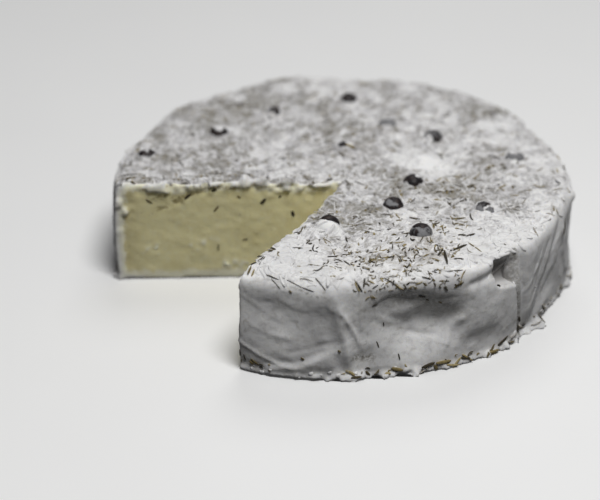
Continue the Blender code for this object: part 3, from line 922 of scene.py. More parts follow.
def cut_wedge(wheel):
    """Takes the wedge out between the two knife strokes."""
    reach = 2 * WHEEL_RADIUS
    corners = [np.array(NOTCH_POINT)]
    corners += [corners[0] + stroke_way(turn) * reach for turn in (FAR_STROKE, NEAR_STROKE)]

    def prism(work):
        floor = work.faces.new([work.verts.new((*(corner * MM), -CUT_MARGIN * MM)) for corner in corners])
        tall = bmesh.ops.extrude_face_region(work, geom=[floor])
        lifted = [part for part in tall["geom"] if isinstance(part, bmesh.types.BMVert)]
        bmesh.ops.translate(work, verts=lifted, vec=(0, 0, (WHEEL_HEIGHT + 2 * CUT_MARGIN) * MM))
        bmesh.ops.recalc_face_normals(work, faces=work.faces)

    knife = place("knife", mesh_from(prism, "knife"))
    cut = wheel.modifiers.new("cut", "BOOLEAN")
    cut.operation = "DIFFERENCE"
    cut.solver = "EXACT"
    cut.object = knife
    bake_modifiers(wheel)
    bpy.data.objects.remove(knife, do_unlink=True)


def remesh(wheel, voxel):
    fine = wheel.modifiers.new("fine", "REMESH")
    fine.mode = "VOXEL"
    fine.voxel_size = voxel * MM
    bake_modifiers(wheel)


def close_floor(mesh):
    """Makes the underside one flat sheet at the height of the table."""
    work = bmesh.new()
    work.from_mesh(mesh)
    under = [face for face in work.faces
             if face.normal.z < FACING_DOWN and face.calc_center_median().z < FLOOR_REACH * MM]
    bmesh.ops.delete(work, geom=under, context="FACES")
    rim = [edge for edge in work.edges if len(edge.link_faces) == 1]
    for edge in rim:
        for vertex in edge.verts:
            vertex.co.z = 0
    bmesh.ops.triangle_fill(work, edges=rim, use_beauty=False, use_dissolve=False)
    loose = [vertex for vertex in work.verts if not vertex.link_faces]
    bmesh.ops.delete(work, geom=loose, context="VERTS")
    bmesh.ops.recalc_face_normals(work, faces=work.faces)
    work.to_mesh(mesh)
    work.free()


def from_line(angle, height, places):
    """How far each place lies from a line on the side, on which side of it, and how far along it."""
    best = np.full(len(angle), FAR_OFF)
    side = np.zeros(len(angle))
    done = np.zeros(len(angle))
    count = len(places) - 1
    for number, ((first_turn, first_z), (last_turn, last_z)) in enumerate(zip(places, places[1:])):
        s = along_rim(angle, first_turn)
        z = height - first_z
        run_s = math.radians(last_turn - first_turn) * WHEEL_RADIUS
        run_z = last_z - first_z
        share = np.clip((s * run_s + z * run_z) / (run_s**2 + run_z**2), 0, 1)
        away = np.hypot(s - share * run_s, z - share * run_z)
        nearer = away < best
        best = np.where(nearer, away, best)
        side = np.where(nearer, np.sign(z * run_s - s * run_z), side)
        done = np.where(nearer, (number + share) / count, done)
    return best, side, done


def line_relief(angle, height, line):
    """How far one wrinkle lifts the skin at each place."""
    kind, rise, half_width, places = line
    best, side, done = from_line(angle, height, places)
    fade = ease(0, LINE_FADE, done) * ease(0, LINE_FADE, 1 - done)
    if kind == "ridge":
        shape = bell(best, half_width)
    elif kind == "groove":
        shape = -bell(best, half_width)
    elif kind == "step":
        shape = np.exp(-best / STEP_SPREAD) * (ease(-half_width, half_width, side * best) - STEP_SUNK)
    else:
        above = np.exp(-best / (LIP_SPREAD * half_width)) * ease(LIP_START, half_width, best)
        below = -LIP_UNDERCUT * np.exp(-best / half_width)
        shape = np.where(side >= 0, above + LIP_CREST * bell(best, half_width), below)
    return rise * shape * (LINE_END + (1 - LINE_END) * fade)


def far_lines():
    """Wrinkles for the stretches of the side that have none of their own, drawn once for all."""
    draw = random.Random(LINE_SEED)
    for _ in range(FAR_LINES):
        turn = draw.uniform(*FAR_LINE_TURNS)
        level = draw.uniform(*FAR_LINE_LEVELS)
        slant = math.radians(draw.choice((-1, 1)) * draw.uniform(*FAR_LINE_SLANT))
        length = draw.uniform(*FAR_LINE_LENGTH)
        bow = draw.uniform(-FAR_LINE_BOW, FAR_LINE_BOW) * length
        places = []
        for step in (-1, -0.5, 0, 0.5, 1):
            run = step * length / 2
            sag = bow * (1 - step * step)
            s = run * math.cos(slant) - sag * math.sin(slant)
            z = run * math.sin(slant) + sag * math.cos(slant)
            places.append((turn + math.degrees(s / WHEEL_RADIUS), level + z))
        kind = draw.choice(("lip", "ridge", "groove"))
        yield kind, draw.uniform(*FAR_LINE_HEIGHT), draw.uniform(*FAR_LINE_WIDTH), places


def berry_relief(x, y):
    """The mould that creeps up round the berries, as a height above the plain top."""
    rise = np.zeros(len(x))
    flat = np.column_stack((x, y, np.zeros(len(x))))
    low, more = MOUND_HEIGHT
    skirt_share, skirt_spread = MOUND_SKIRT
    for number, (berry_x, berry_y, diameter, side, creep) in enumerate(BERRIES):
        from_edge = np.hypot(x - berry_x, y - berry_y) - diameter * 0.5 - COLLAR_OFF
        collar = COLLAR_HEIGHT * bell(from_edge, COLLAR_WIDTH) * (1 + rough(flat, COLLAR_HILLS, number))
        turn = math.radians(side)
        size = diameter * (MOUND_SIZE + MOUND_GROWTH * creep)
        tall = size * (low + more * creep)
        reach = size * MOUND_SPREAD * (1 + rough(flat, MOUND_EDGE_HILLS, number))
        off = diameter * MOUND_AWAY
        out = np.hypot(x - berry_x - off * math.cos(turn), y - berry_y - off * math.sin(turn)) / reach
        dome = tall * np.sqrt(np.clip(1 - out**2, 0, 1))
        skirt = tall * skirt_share * bell(out, skirt_spread)
        mound = np.maximum(dome, skirt) + rough(flat, MOUND_HILLS, number) * bell(out, MOUND_HILL_SPREAD)
        rise = np.maximum(rise, np.maximum(collar, mound))
    return rise


def cut_faces(points):
    """How far each point lies from the far and the near knife stroke, and how far out along each."""
    offset = points[:, :2] - np.array(NOTCH_POINT)
    result = []
    for turn in (FAR_STROKE, NEAR_STROKE):
        way = stroke_way(turn)
        result.append((np.abs(offset[:, 0] * way[1] - offset[:, 1] * way[0]), offset @ way))
    return result


def patch_sum(x, y):
    """What the herb patches add or take away at a place on the top."""
    return sum(more * bell(np.hypot(x - patch_x, y - patch_y), reach)
               for patch_x, patch_y, reach, more in HERB_PATCHES)


def worn_edges(points):
    """Rounds the two edges where the knife came through the top, more in some places than in others."""
    x, y, z = points.T
    offset = points[:, :2] - np.array(NOTCH_POINT)
    down = WHEEL_HEIGHT + top_relief(x, y) - z
    size = CUT_EDGE_ROUND * np.clip(1 + rough(points * FLAT, WORN_HILLS), *WORN_LIMITS)
    result = points.copy()
    for turn, turned in ((FAR_STROKE, 1), (NEAR_STROKE, -1)):
        way = stroke_way(turn)
        inward = turned * np.array((way[1], -way[0]))
        inside, out = offset @ inward, offset @ way
        near_edge = (down < size) & (inside < size) & (inside > WORN_BEYOND) & (out > 0)
        far_off = np.hypot(size - down, size - inside)
        back = np.where(near_edge & (far_off > size), 1 - size / far_off, 0)
        result[:, :2] += ((size - inside) * back)[:, None] * inward
        result[:, 2] -= (size - down) * back
    return result


def foot_teeth(ground):
    """How far the torn edge of the mould stands out round the foot."""
    from_rim = np.hypot(ground.x, ground.y) - (WHEEL_RADIUS - flattening(ground.angle))
    round_foot = np.column_stack((ground.x, ground.y, ground.z * TEETH_HEIGHT_SHARE))
    less, middle, half_width = FOOT_CALM
    share = 1 + rough(round_foot * FLAT, FOOT_PATCH_HILLS)
    share = share - less * bell(turn_between(ground.angle, middle), half_width)
    teeth = np.clip(rough(round_foot, TEETH_HILLS), *TEETH_LIMITS) * FOOT_FRAY * share
    flare = FOOT_FLARE * ease(*FOOT_FLARE_LEVELS, ground.z)
    return (teeth * ease(*FOOT_FRAY_LEVELS, ground.z) + flare) * ease(*FOOT_RIM, from_rim)


def herb_wish(x, y):
    """How much of the top is strewn with bare herbs here, from 0 up."""
    wish = HERBS_ALL_OVER + sum(more * ease(*start, y) for more, start in HERBS_FORWARD)
    share, limits = HERBS_BY_CUT
    wish = wish + share * ease(*limits, np.abs(y - CUT_HERB_LINE)) * (x < 0)
    return np.clip(wish + patch_sum(x, y), 0, HERBS_MOST)


def felt_and_shade_wish(x, y):
    """How grey the ground is between the needles that the mould has grown over, from 0 to 1, with painted
    shade that greys it towards the left.
    """
    flat = np.column_stack((x, y, np.zeros(len(x))))
    felt = FELT_LEVEL + rough(flat, FELT_HILLS)
    left_shade, leftward = FELT_AND_SHADE_LEFT
    front, forward = FELT_FRONT
    felt += FELT_PATCH * patch_sum(x, y) + left_shade * ease(*leftward, x) - front * ease(*forward, y)
    return np.clip(felt, 0, 1)


def raw_wheel():
    """The wheel with its notch as one even mesh, its points, and how deep each lies in the whole wheel."""
    wheel = turned_wheel()
    whole = surface_of(read_points(wheel.data), wheel.data)
    cut_wedge(wheel)
    remesh(wheel, VOXEL)
    close_floor(wheel.data)
    points = worn_edges(read_points(wheel.data))
    depth = np.array([whole.find_nearest(point)[3] for point in points])
    (far_away, far_out), _ = cut_faces(points)
    swell = bell(far_away, FAR_CUT_REACH) * ease(*FAR_CUT_START, far_out)
    points[:, 2] += FAR_CUT_RISE * (swell * ease(*FAR_CUT_LEVELS, points[:, 2]))
    write_points(wheel.data, points)
    return wheel, points, depth


class Ground:
    """The points of the cheese before its fine surface, and what is known of each of them."""

    def __init__(self, mesh, points, depth):
        self.points, self.depth = points, depth
        self.x, self.y, self.z = points.T
        self.normals = read_normals(mesh)
        self.angle = np.degrees(np.arctan2(self.y, self.x))
        self.up = ease(*TOP_FACING, self.normals[:, 2])
        self.outward = (1 - self.up) * ease(*SIDE_START, self.z)
        self.find_cuts()
        self.find_rind()

    def find_cuts(self):
        (self.far_away, self.far_out), (near_away, near_out) = cut_faces(self.points)
        on_far = (self.far_away < CUT_TOUCH) & (self.far_out > 0)
        on_near = (near_away < CUT_TOUCH) & (near_out > 0)
        self.on_cut = (on_far | on_near) & (self.normals[:, 2] < CUT_FACING)
        self.from_cut = np.minimum(np.where(self.far_out > 0, self.far_away, FAR_OFF),
                                   np.where(near_out > 0, near_away, FAR_OFF))
        by_far = self.far_away < near_away
        self.out = np.where(by_far, self.far_out, near_out)
        self.lumpiness = np.where(by_far, 1, NEAR_CUT_LUMPS)
        self.high_up = ease(*LUMP_LEVELS, self.z)

    def find_rind(self):
        """Tells the rind from the paste where the knife went through both."""
        by_far_face = self.far_away < FAR_FACE_REACH
        start, full = FAR_END_REACH
        self.far_end = ease(WHEEL_RADIUS - start, WHEEL_RADIUS - full, self.far_out) * by_far_face
        self.fray = rough(self.points, FRAY_HILLS)
        self.lumps = ease(*LUMP_LIMITS, rough(self.points, LUMP_HILLS)) * self.high_up * self.lumpiness
        more, middle, half_width = THICK_RIND
        thicker = 1 + more * bell(self.far_out - middle, half_width) * by_far_face
        rind = RIND_THICK + FAR_END_THICK * self.far_end + RIND_FRAY * self.fray
        rind = rind + LUMP_THICK * self.lumps * thicker
        inner, outer = RIND_BLUR
        self.paste = ease(rind - inner, rind + outer, self.depth) * self.on_cut
        self.skin = 1 - self.paste


def skin_push(ground):
    """How far hills, wrinkles and pockets push the skin of the side out."""
    calm = CALM_SHARE + (1 - CALM_SHARE) * ease(0, CUT_CALM, ground.from_cut)
    push = rough(ground.points, SKIN_HILLS) * calm
    for line in itertools.chain(SKIN_LINES, far_lines()):
        push += line_relief(ground.angle, ground.z, line) * (ground.depth < LINE_DEPTH)
    up, down, sideways = POCKET_POWERS
    for middle, level, deep, half_width, reach_up, reach_down, slope in POCKETS:
        away = along_rim(ground.angle, middle)
        rise = ground.z - level - slope * away
        tall = np.where(rise > 0, (np.abs(rise) / reach_up) ** up, (np.abs(rise) / reach_down) ** down)
        push -= deep * np.exp(-((away / half_width) ** sideways) - tall)
    return push * ground.outward * ground.skin


def top_push(ground):
    """How far the mould on the top stands up, and the lumps of it along the cuts."""
    rougher = 1 + CUT_ROUGHER * bell(ground.from_cut, CUT_CALM)
    push = rough(ground.points, TOP_HILLS) * ground.up * ground.skin * rougher
    from_rim = np.hypot(ground.x, ground.y) - WHEEL_RADIUS
    at_cut = bell(ground.from_cut - CUT_LUMP_OFF, CUT_LUMP_REACH) * ground.up * (ground.z > CUT_LUMP_LEVEL)
    at_cut = at_cut * ease(*CUT_LUMP_RIM, from_rim) * ground.lumpiness
    push += at_cut * (CUT_LUMP_RISE + rough(ground.points, CUT_LUMP_HILLS))
    return push - TOP_SUNK * ground.up * ground.skin


def curd_at(ground):
    """Where the curd broke into lumps on the cut faces, from 0 to 1."""
    curd = sum(bell(ground.out - far, wide) * bell(ground.z - level, tall)
               for far, level, wide, tall in CURD_SPOTS)
    return np.clip(curd, 0, 1) * ease(*CURD_LIMITS, rough(ground.points, CURD_HILLS))


def stain_at(ground):
    """Where the far cut face is stained brown under its rind, from 0 to 1."""
    out, z = ground.far_out, ground.z
    stain = sum(bell(out - far, wide) * bell(z - level + rise * (far - out), tall)
                for far, level, wide, tall, rise in BROWN_STAINS)
    return np.clip(stain, 0, 1) * (ground.far_away < STAIN_REACH) * ground.paste


def cut_push(ground, curd, stain):
    """How far paste, curd, cream and rind stand out of the cut faces."""
    slant = math.radians(DRAG_SLANT)
    long, wide = DRAG_SIZE
    drag = np.column_stack((
        (ground.out * math.cos(slant) + ground.z * math.sin(slant)) / long,
        (ground.z * math.cos(slant) - ground.out * math.sin(slant)) / wide,
        np.zeros(len(ground.out)),
    ))
    push = ground.paste * (rough(ground.points, PASTE_HILLS) + rough(drag, DRAG_HILLS))
    push += ground.paste * curd * CURD_RISE
    push -= stain * STAIN_DENT * (1 + rough(ground.points, STAIN_HILLS))
    cream = rough(ground.points, CREAM_HILLS) * ground.paste
    push += cream * bell(ground.depth, CREAM_DEPTH) * ground.high_up
    proud = RIND_PROUD * (1 + ground.fray) + LUMP_PROUD * ground.lumps
    return push + proud * ground.on_cut * ground.skin * ease(*RIND_SHOWS, ground.depth)


def dust_and_shade_at(ground):
    """Where herb dust greys the side and painted shade darkens its creases and hollows, from 0 to 1."""
    dust = np.max([share * bell(from_line(ground.angle, ground.z, places)[0], half_width)
                   for half_width, share, places in DUST_AND_SHADE_LINES], axis=0)
    foot = ease(*FOOT_DUST_LEVELS, ground.z) * ease(*FOOT_DUST_LIMITS, rough(ground.points, FOOT_DUST_HILLS))
    return np.clip(dust + foot * FOOT_DUST, 0, 1) * ground.outward * ground.skin


def build_cheese(finish):
    """The wheel with its notch and its whole fine surface. Returns that surface in millimetres."""
    wheel, points, depth = raw_wheel()
    mesh = wheel.data
    ground = Ground(mesh, points, depth)
    x, y, up = ground.x, ground.y, ground.up
    curd, stain = curd_at(ground), stain_at(ground)
    push = skin_push(ground) + top_push(ground) + cut_push(ground, curd, stain)

    points = points + ground.normals * (push * ease(*GROUNDED, ground.z))[:, None]
    points[:, :2] += foot_teeth(ground)[:, None] * (points[:, :2] / np.hypot(x, y)[:, None])
    mounds = berry_relief(x, y) * up * ease(*MOUND_LEVELS, ground.z) * (depth < MOUND_DEPTH)
    points[:, 2] += mounds
    points[:, 2] = np.maximum(points[:, 2], 0)
    points = inside_box(points)
    write_points(mesh, points)
    mesh.shade_smooth()

    white_patches = WHITEST * ease(*WHITE_LIMITS, patch_sum(x, y)) * up
    mark(mesh, "depth", np.where(ground.on_cut, depth, 0))
    mark(mesh, "paste", ground.paste)
    mark(mesh, "herbs", np.clip(herb_wish(x, y), 0, HERB_TINT_MOST) * up)
    mark(mesh, "felt", felt_and_shade_wish(x, y) * up * ease(*FELT_LEVELS, ground.z))
    mark(mesh, "mound", np.maximum(mounds, white_patches))
    mark(mesh, "far_end", ground.far_end)
    mark(mesh, "curd", curd * ground.paste)
    mark(mesh, "stain", stain)
    mark(mesh, "dust", dust_and_shade_at(ground))
    # How deep the side is pressed in: the finish paints shade from it in dents and pockets
    mark(mesh, "hollow", np.clip(-push, 0, DEEPEST) * ground.outward)
    mesh.materials.clear()
    mesh.materials.append(finish)
    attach(wheel, BODY)
    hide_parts("cheese")
    return surface_of(points, mesh)


# ---- small pieces, many in one mesh ----


class Bundle:
    """Many small pieces gathered into one mesh, with numbers on each point for its colour."""

    def __init__(self):
        self.points = []
        self.faces = []
        self.marks = {}

    def add_tube(self, rings, **marks):
        """A closed tube through rings of points. A mark is one number, or one for each point of a ring."""
        sides = len(rings[0])
        base = len(self.points)
        for ring in rings:
            self.points += ring
        for row in range(len(rings) - 1):
            low, high = base + row * sides, base + (row + 1) * sides
            for side in range(sides):
                after = (side + 1) % sides
                self.faces.append((low + side, low + after, high + after, high + side))
        last = base + (len(rings) - 1) * sides
        self.faces.append(tuple(base + side for side in reversed(range(sides))))
        self.faces.append(tuple(last + side for side in range(sides)))
        for name, value in marks.items():
            values = list(value) if hasattr(value, "__len__") else [value] * sides
            self.marks.setdefault(name, []).extend(values * len(rings))

    def add_ball(self, middle, size, normal, **marks):
        """A small lump: a six-sided spindle standing on the surface."""
        way = normal.orthogonal().normalized()
        rings = []
        for rise, wide in BALL_PROFILE:
            ring = []
            for side in range(BALL_SIDES):
                turned = Matrix.Rotation(side * 2 * math.pi / BALL_SIDES + rise, 3, normal) @ way
                across = size.x if side % 2 else size.y
                ring.append(middle + normal * rise * size.z + turned * wide * across)
            rings.append(ring)
        self.add_tube(rings, **marks)

    def make(self, name, material):
        mesh = bpy.data.meshes.new(name)
        points = inside_box(np.array([tuple(point) for point in self.points]))
        mesh.from_pydata((points * MM).tolist(), [], self.faces)
        for layer, values in self.marks.items():
            mark(mesh, layer, values)
        mesh.shade_smooth()
        mesh.materials.append(material)
        thing = place(name, mesh)
        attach(thing, BODY)


def draped(surface, hit, normal, way, length, bend, softness, curl):
    """Places along a thin thing that lies on the surface, lifted until most of it clears the bumps."""
    side = normal.cross(way)
    places = []
    deepest = 0.0
    for station in STATIONS:
        free = hit + way * (station * length / 2) + side * (bend * station * station)
        lying, face, _, _ = surface.find_nearest(free)
        spot = free.lerp(lying, softness)
        deepest = max(deepest, (lying - spot).dot(face))
        places.append(spot + normal * (curl * max(0.0, station) ** 2))
    return [spot + normal * (deepest * NEEDLE_LIFT) for spot in places]


def add_needle(bundle, surface, hit, normal, way, length, width, thick, sunk=NEEDLE_SUNK, curl=0.0,
               bend=0.0, softness=NEEDLE_SOFTNESS, section=NEEDLE_SECTION, **marks):
    """A dried rosemary needle with its edges rolled under, lying on the surface."""
    places = draped(surface, hit, normal, way, length, bend, softness, curl)
    rings = []
    for number, (spot, share) in enumerate(zip(places, STATION_WIDTHS)):
        before, after = places[max(0, number - 1)], places[min(len(places) - 1, number + 1)]
        across = (after - before).normalized().cross(normal).normalized()
        rings.append([spot + across * (side * width / 2 * share) + normal * ((up * share + sunk) * thick)
                      for side, up in section])
    bundle.add_tube(rings, across=[abs(side) for side, _ in section], **marks)


def lay_along(bundle, surface, hit, normal, run, width, thick, **more):
    """A needle in a place of its own, as long as run and turned the way that run points."""
    way = (run - normal * run.dot(normal)).normalized()
    add_needle(bundle, surface, hit, normal, way, run.length, width, thick, **more)


def any_way(normal, draw, level_share=0.0):
    """A random direction along the surface. A level share of 1 keeps it level round the wheel."""
    level = Vector((0, 0, 1)).cross(normal)
    way = level.normalized() if level.length > LEVEL_ENOUGH else normal.orthogonal().normalized()
    turn = draw.uniform(-1, 1) * math.pi / 2 * (1 - level_share)
    return Matrix.Rotation(turn, 3, normal) @ way


def drop_on_top(surface, x, y):
    return surface.ray_cast(Vector((x, y, 2 * WHEEL_HEIGHT)), Vector((0, 0, -1)))[:2]


def aim_at_side(surface, angle, height, slope=0.0):
    """Where a ray from outside meets the side. A slope above 0 comes from above."""
    outward = Vector((*stroke_way(angle), 0))
    target = outward * (WHEEL_RADIUS - AIM_INSIDE) + Vector((0, 0, height))
    ray = (-outward - Vector((0, 0, slope))).normalized()
    return surface.ray_cast(target - ray * AIM_FROM, ray)[:2]


def near_berry(x, y, margin):
    return any(math.hypot(x - bx, y - by) < size / 2 + margin for bx, by, size, _, _ in BERRIES)


def in_notch(x, y, margin=0.0):
    """Whether a place lies in the wedge that was taken out, or nearer to it than the margin."""
    offset = np.array((x, y)) - np.array(NOTCH_POINT)
    far, near = stroke_way(FAR_STROKE), stroke_way(NEAR_STROKE)
    behind_far = offset[0] * far[1] - offset[1] * far[0]
    behind_near = near[0] * offset[1] - near[1] * offset[0]
    return behind_far < margin and behind_near < margin


def strew_top(bundle, surface, draw, wish, wanted, length, width, thick, cover=(0, 1), **more):
    """Lays needles on the top, as thick as the function wish says."""
    laid = 0
    while laid < wanted:
        radius = TOP_REACH * math.sqrt(draw.random())
        turn = draw.uniform(0, 2 * math.pi)
        x, y = radius * math.cos(turn), radius * math.sin(turn)
        if draw.random() > wish(x, y) or in_notch(x, y, NOTCH_MARGIN) or near_berry(x, y, BERRY_MARGIN):
            continue
        hit, normal = drop_on_top(surface, x, y)
        if hit is None or normal.z < STEEPEST_TOP:
            continue
        long = draw.uniform(*length) * draw.uniform(*TOP_SHORTER)
        way = any_way(normal, draw)
        add_needle(bundle, surface, hit, normal, way, long, draw.uniform(*width), draw.uniform(*thick),
                   bend=draw.uniform(-TOP_BEND, TOP_BEND), curl=max(0.0, draw.uniform(*TOP_CURL)),
                   tint=draw.random(), mould=draw.uniform(*cover), **more)
        laid += 1


def strew_side(bundle, surface, draw, wanted, turns, heights, slope, length, width, thick, level_share,
               **more):
    """Lays needles on the side, between these turns round the wheel and these heights."""
    laid = 0
    while laid < wanted:
        hit, normal = aim_at_side(surface, draw.uniform(*turns), draw.uniform(*heights), slope)
        if hit is None or in_notch(hit.x, hit.y, NOTCH_MARGIN):
            continue
        add_needle(bundle, surface, hit, normal, any_way(normal, draw, level_share),
                   draw.uniform(*length), draw.uniform(*width), draw.uniform(*thick),
                   bend=draw.uniform(-SIDE_BEND, SIDE_BEND), curl=max(0.0, draw.uniform(*SIDE_CURL)),
                   tint=draw.random(), mould=draw.random(), **more)
        laid += 1


def lay_by_hand(bundle, surface):
    """The needles that lie in places of their own, on the side and the shoulder and then on the top."""
    wide, thick, mould = SIDE_SHARES
    for (first_turn, first_z), (last_turn, last_z), width, tint in SIDE_NEEDLES:
        level = (first_z + last_z) / 2
        slope = SHOULDER_SLOPE if level > SHOULDER_LEVEL else 0.0
        hit, normal = aim_at_side(surface, (first_turn + last_turn) / 2, level, slope)
        if hit is None:
            continue
        level_way = Vector((0, 0, 1)).cross(normal).normalized()
        run = level_way * (math.radians(last_turn - first_turn) * WHEEL_RADIUS)
        run += normal.cross(level_way) * (last_z - first_z)
        lay_along(bundle, surface, hit, normal, run, width * wide, width * thick, tint=tint, mould=mould)
    wide, thick, mould = TOP_SHARES
    for (first_x, first_y), (last_x, last_y), width, tint in TOP_NEEDLES:
        hit, normal = drop_on_top(surface, (first_x + last_x) / 2, (first_y + last_y) / 2)
        if hit is None or hit.z < WHEEL_HEIGHT / 2:
            continue
        run = Vector((last_x - first_x, last_y - first_y, 0))
        lay_along(bundle, surface, hit, normal, run, width * wide, width * thick, tint=tint, mould=mould)


def bare_at(x, y):
    """The chance that a bare needle stays where it falls."""
    return BARE_SHARE * float(herb_wish(np.float64(x), np.float64(y)))


def covered_at(x, y):
    """The chance that a needle under the mould stays where it falls."""
    low, more = COVERED_SHARES
    return low + more * float(herb_wish(np.float64(x), np.float64(y)))


def felt_at(x, y):
    return float(felt_and_shade_wish(np.array([x]), np.array([y]))[0])


def build_herbs(surface, herb):
    draw = random.Random(HERB_SEED)
    bare = Bundle()
    strew_top(bare, surface, draw, bare_at, *BARE_ON_TOP)
    strew_top(bare, surface, draw, felt_at, *HALF_BARE_ON_TOP)
    for row in BARE_ON_SIDE:
        strew_side(bare, surface, draw, *row)
    lay_by_hand(bare, surface)
    bare.make("rosemary_needles", herb)

    crumbs = Bundle()
    strew_top(crumbs, surface, draw, bare_at, *CRUMBS_ON_TOP)
    for row in CRUMBS_ON_SIDE:
        strew_side(crumbs, surface, draw, *row)
    crumbs.make("rosemary_crumbs", herb)


def build_covered_needles(surface, mould):
    """Needles that the mould has grown over: they show as low white and grey strokes."""
    draw = random.Random(COVER_SEED)
    covered = Bundle()
    more = {"softness": 1.0, "section": COVERED_SECTION}
    strew_top(covered, surface, draw, covered_at, *COVERED_ON_TOP, sunk=COVERED_SUNK, **more)
    for sunk, *row in COVERED_ON_SIDE:
        strew_side(covered, surface, draw, *row, sunk=sunk, **more)
    x, y, z = np.array([tuple(point) for point in covered.points]).T
    covered.marks["felt"] = (felt_and_shade_wish(x, y) * ease(*COVERED_FELT_LEVELS, z)).tolist()
    covered.make("needles_under_mould", mould)


def face_spot(surface, turn, out, height):
    """A place on a cut face, this far out along the knife stroke."""
    way = stroke_way(turn)
    facing = np.array((way[1], -way[0])) * (1 if turn == NEAR_STROKE else -1)
    start = Vector((*(np.array(NOTCH_POINT) + way * out + facing * FACE_AIM), height))
    return surface.ray_cast(start, Vector((*(-facing), 0)))[:2]


def build_flecks(surface, draw, herb):
    """Herb flecks on the two cut faces, first those in places of their own."""
    flecks = Bundle()
    more = {"sunk": FLECK_SUNK, "softness": 1.0, "mould": 0.0}
    for (first_out, first_z), (last_out, last_z), width, tint in FACE_FLECKS:
        hit, normal = face_spot(surface, FAR_STROKE, (first_out + last_out) / 2, (first_z + last_z) / 2)
        if hit is not None:
            run = Vector((*(stroke_way(FAR_STROKE) * (last_out - first_out)), last_z - first_z))
            lay_along(flecks, surface, hit, normal, run, width, FACE_FLECK_THICK, tint=tint, **more)
    for turn in (FAR_STROKE, NEAR_STROKE):
        for _ in range(FLECKS):
            hit, normal = face_spot(surface, turn, draw.uniform(*FLECK_OUT), draw.uniform(*FLECK_LEVELS))
            if hit is not None:
                add_needle(flecks, surface, hit, normal, any_way(normal, draw), draw.uniform(*FLECK_LENGTH),
                           draw.uniform(*FLECK_WIDTH), FLECK_THICK, tint=draw.uniform(*FLECK_TINT), **more)
    flecks.make("herb_flecks_in_paste", herb)


def build_grains(surface, draw, curd):
    """Grains of curd where it broke into lumps on the two cut faces."""
    grains = Bundle()
    spots = itertools.product((FAR_STROKE, NEAR_STROKE), CURD_SPOTS, range(CURD_GRAINS))
    for turn, (out, height, wide, tall), _ in spots:
        out = out + draw.gauss(0, wide / 2)
        hit, normal = face_spot(surface, turn, out, max(GRAIN_LOWEST, height + draw.gauss(0, tall / 2)))
        if hit is not None:
            size = draw.uniform(*GRAIN_SIZE)
            shape = Vector((size, size * draw.uniform(*GRAIN_WIDTH), size * GRAIN_HEIGHT))
            grains.add_ball(hit, shape, normal, tint=draw.random())
    grains.make("curd_grains", curd)


def build_mould_tufts(surface, mould):
    """Crumbs of loose mould along the foot."""
    draw = random.Random(TUFT_SEED)
    tufts = Bundle()
    low, more = TUFT_TINT
    for _ in range(TUFTS):
        hit, normal = aim_at_side(surface, draw.uniform(*ALL_ROUND), draw.uniform(*TUFT_LEVELS))
        if hit is not None and not in_notch(hit.x, hit.y, TUFT_MARGIN):
            shape = Vector(TUFT_SHAPE) * draw.uniform(*TUFT_SIZE)
            tufts.add_ball(hit, shape, normal, tint=low + draw.random() * more, across=0.0, felt=0.0)
    tufts.make("mould_tufts", mould)


# ---- the berries ----


def bare_skin(ways, spots, number):
    """How bare each place of a berry is, from 0 to 1, and how much waxy bloom dulls it."""
    rise = math.radians(VIEW_RISE)
    right = ways[:, 0] + rough(ways, SPOT_HILLS[:1], number)
    up = ways[:, 1] * math.sin(rise) + ways[:, 2] * math.cos(rise) + rough(ways, SPOT_HILLS[1:], number)
    bare = np.zeros(len(ways))
    dulled = np.zeros(len(ways))
    for middle, level, half_width, half_height, bloom in spots:
        share = ease(*SPOT_EDGE, np.hypot((right - middle) / half_width, (up - level) / half_height))
        bare = np.maximum(bare, share)
        dulled += (bloom - dulled) * share
    return bare, dulled


def berry_radius(unit, diameter, number):
    """How far out the skin lies in each direction: its swell, its wrinkles and its three-armed seam."""
    turn = np.degrees(np.arctan2(unit[:, 1], unit[:, 0]))
    arm = np.min([np.abs(turn_between(turn, 120 * branch)) for branch in range(3)], axis=0)
    from_pole = np.arccos(np.clip(unit[:, 2], -1, 1))
    groove = np.radians(arm) * np.sin(from_pole) * diameter / 2
    seam = BERRY_SEAM * bell(groove, BERRY_SEAM_WIDTH) * ease(*BERRY_SEAM_REACH, from_pole)
    wrinkle = -sum(height * np.abs(hills(unit, size, number + start))
                   for size, height, start in BERRY_CREASE_HILLS)
    swell = 1 + rough(unit, BERRY_HILLS, number)
    return diameter / 2 * swell + BERRY_WRINKLE * (BERRY_FULLNESS + wrinkle) - seam


def build_berry(number, berry, skin):
    """A wrinkled juniper berry, tilted its own way and veiled by the mould in its own places."""
    x, y, diameter, _, _ = berry
    draw = random.Random(BERRY_SEED + number)
    name = f"berry_{number:02d}"
    mesh = mesh_from(lambda work: bmesh.ops.create_icosphere(work, subdivisions=BERRY_SPLITS, radius=1), name)
    unit = read_points(mesh) * MM
    unit /= np.linalg.norm(unit, axis=1)[:, None]
    spin = Matrix.Rotation(draw.uniform(0, 2 * math.pi), 3, "Z")
    tilt = np.array(spin @ Matrix.Rotation(draw.uniform(*BERRY_TILT), 3, "X")).T
    points = (unit * berry_radius(unit, diameter, number)[:, None]) @ tilt
    points[:, 2] *= BERRY_HEIGHT_SHARE
    level = WHEEL_HEIGHT - BERRY_SUNK + float(top_relief(np.float64(x), np.float64(y)))
    points += np.array((x, y, level))
    write_points(mesh, inside_box(points))
    bare, dulled = bare_skin(unit @ tilt, BERRY_SPOTS[number - 1], number)
    mark(mesh, "film", 1 - bare)
    mark(mesh, "bloom", dulled)
    mesh.shade_smooth()
    mesh.materials.append(skin)
    thing = place(name, mesh)
    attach(thing, BODY)
    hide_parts(f"juniper_berry_{number:02d}")


# ---- finishes ----


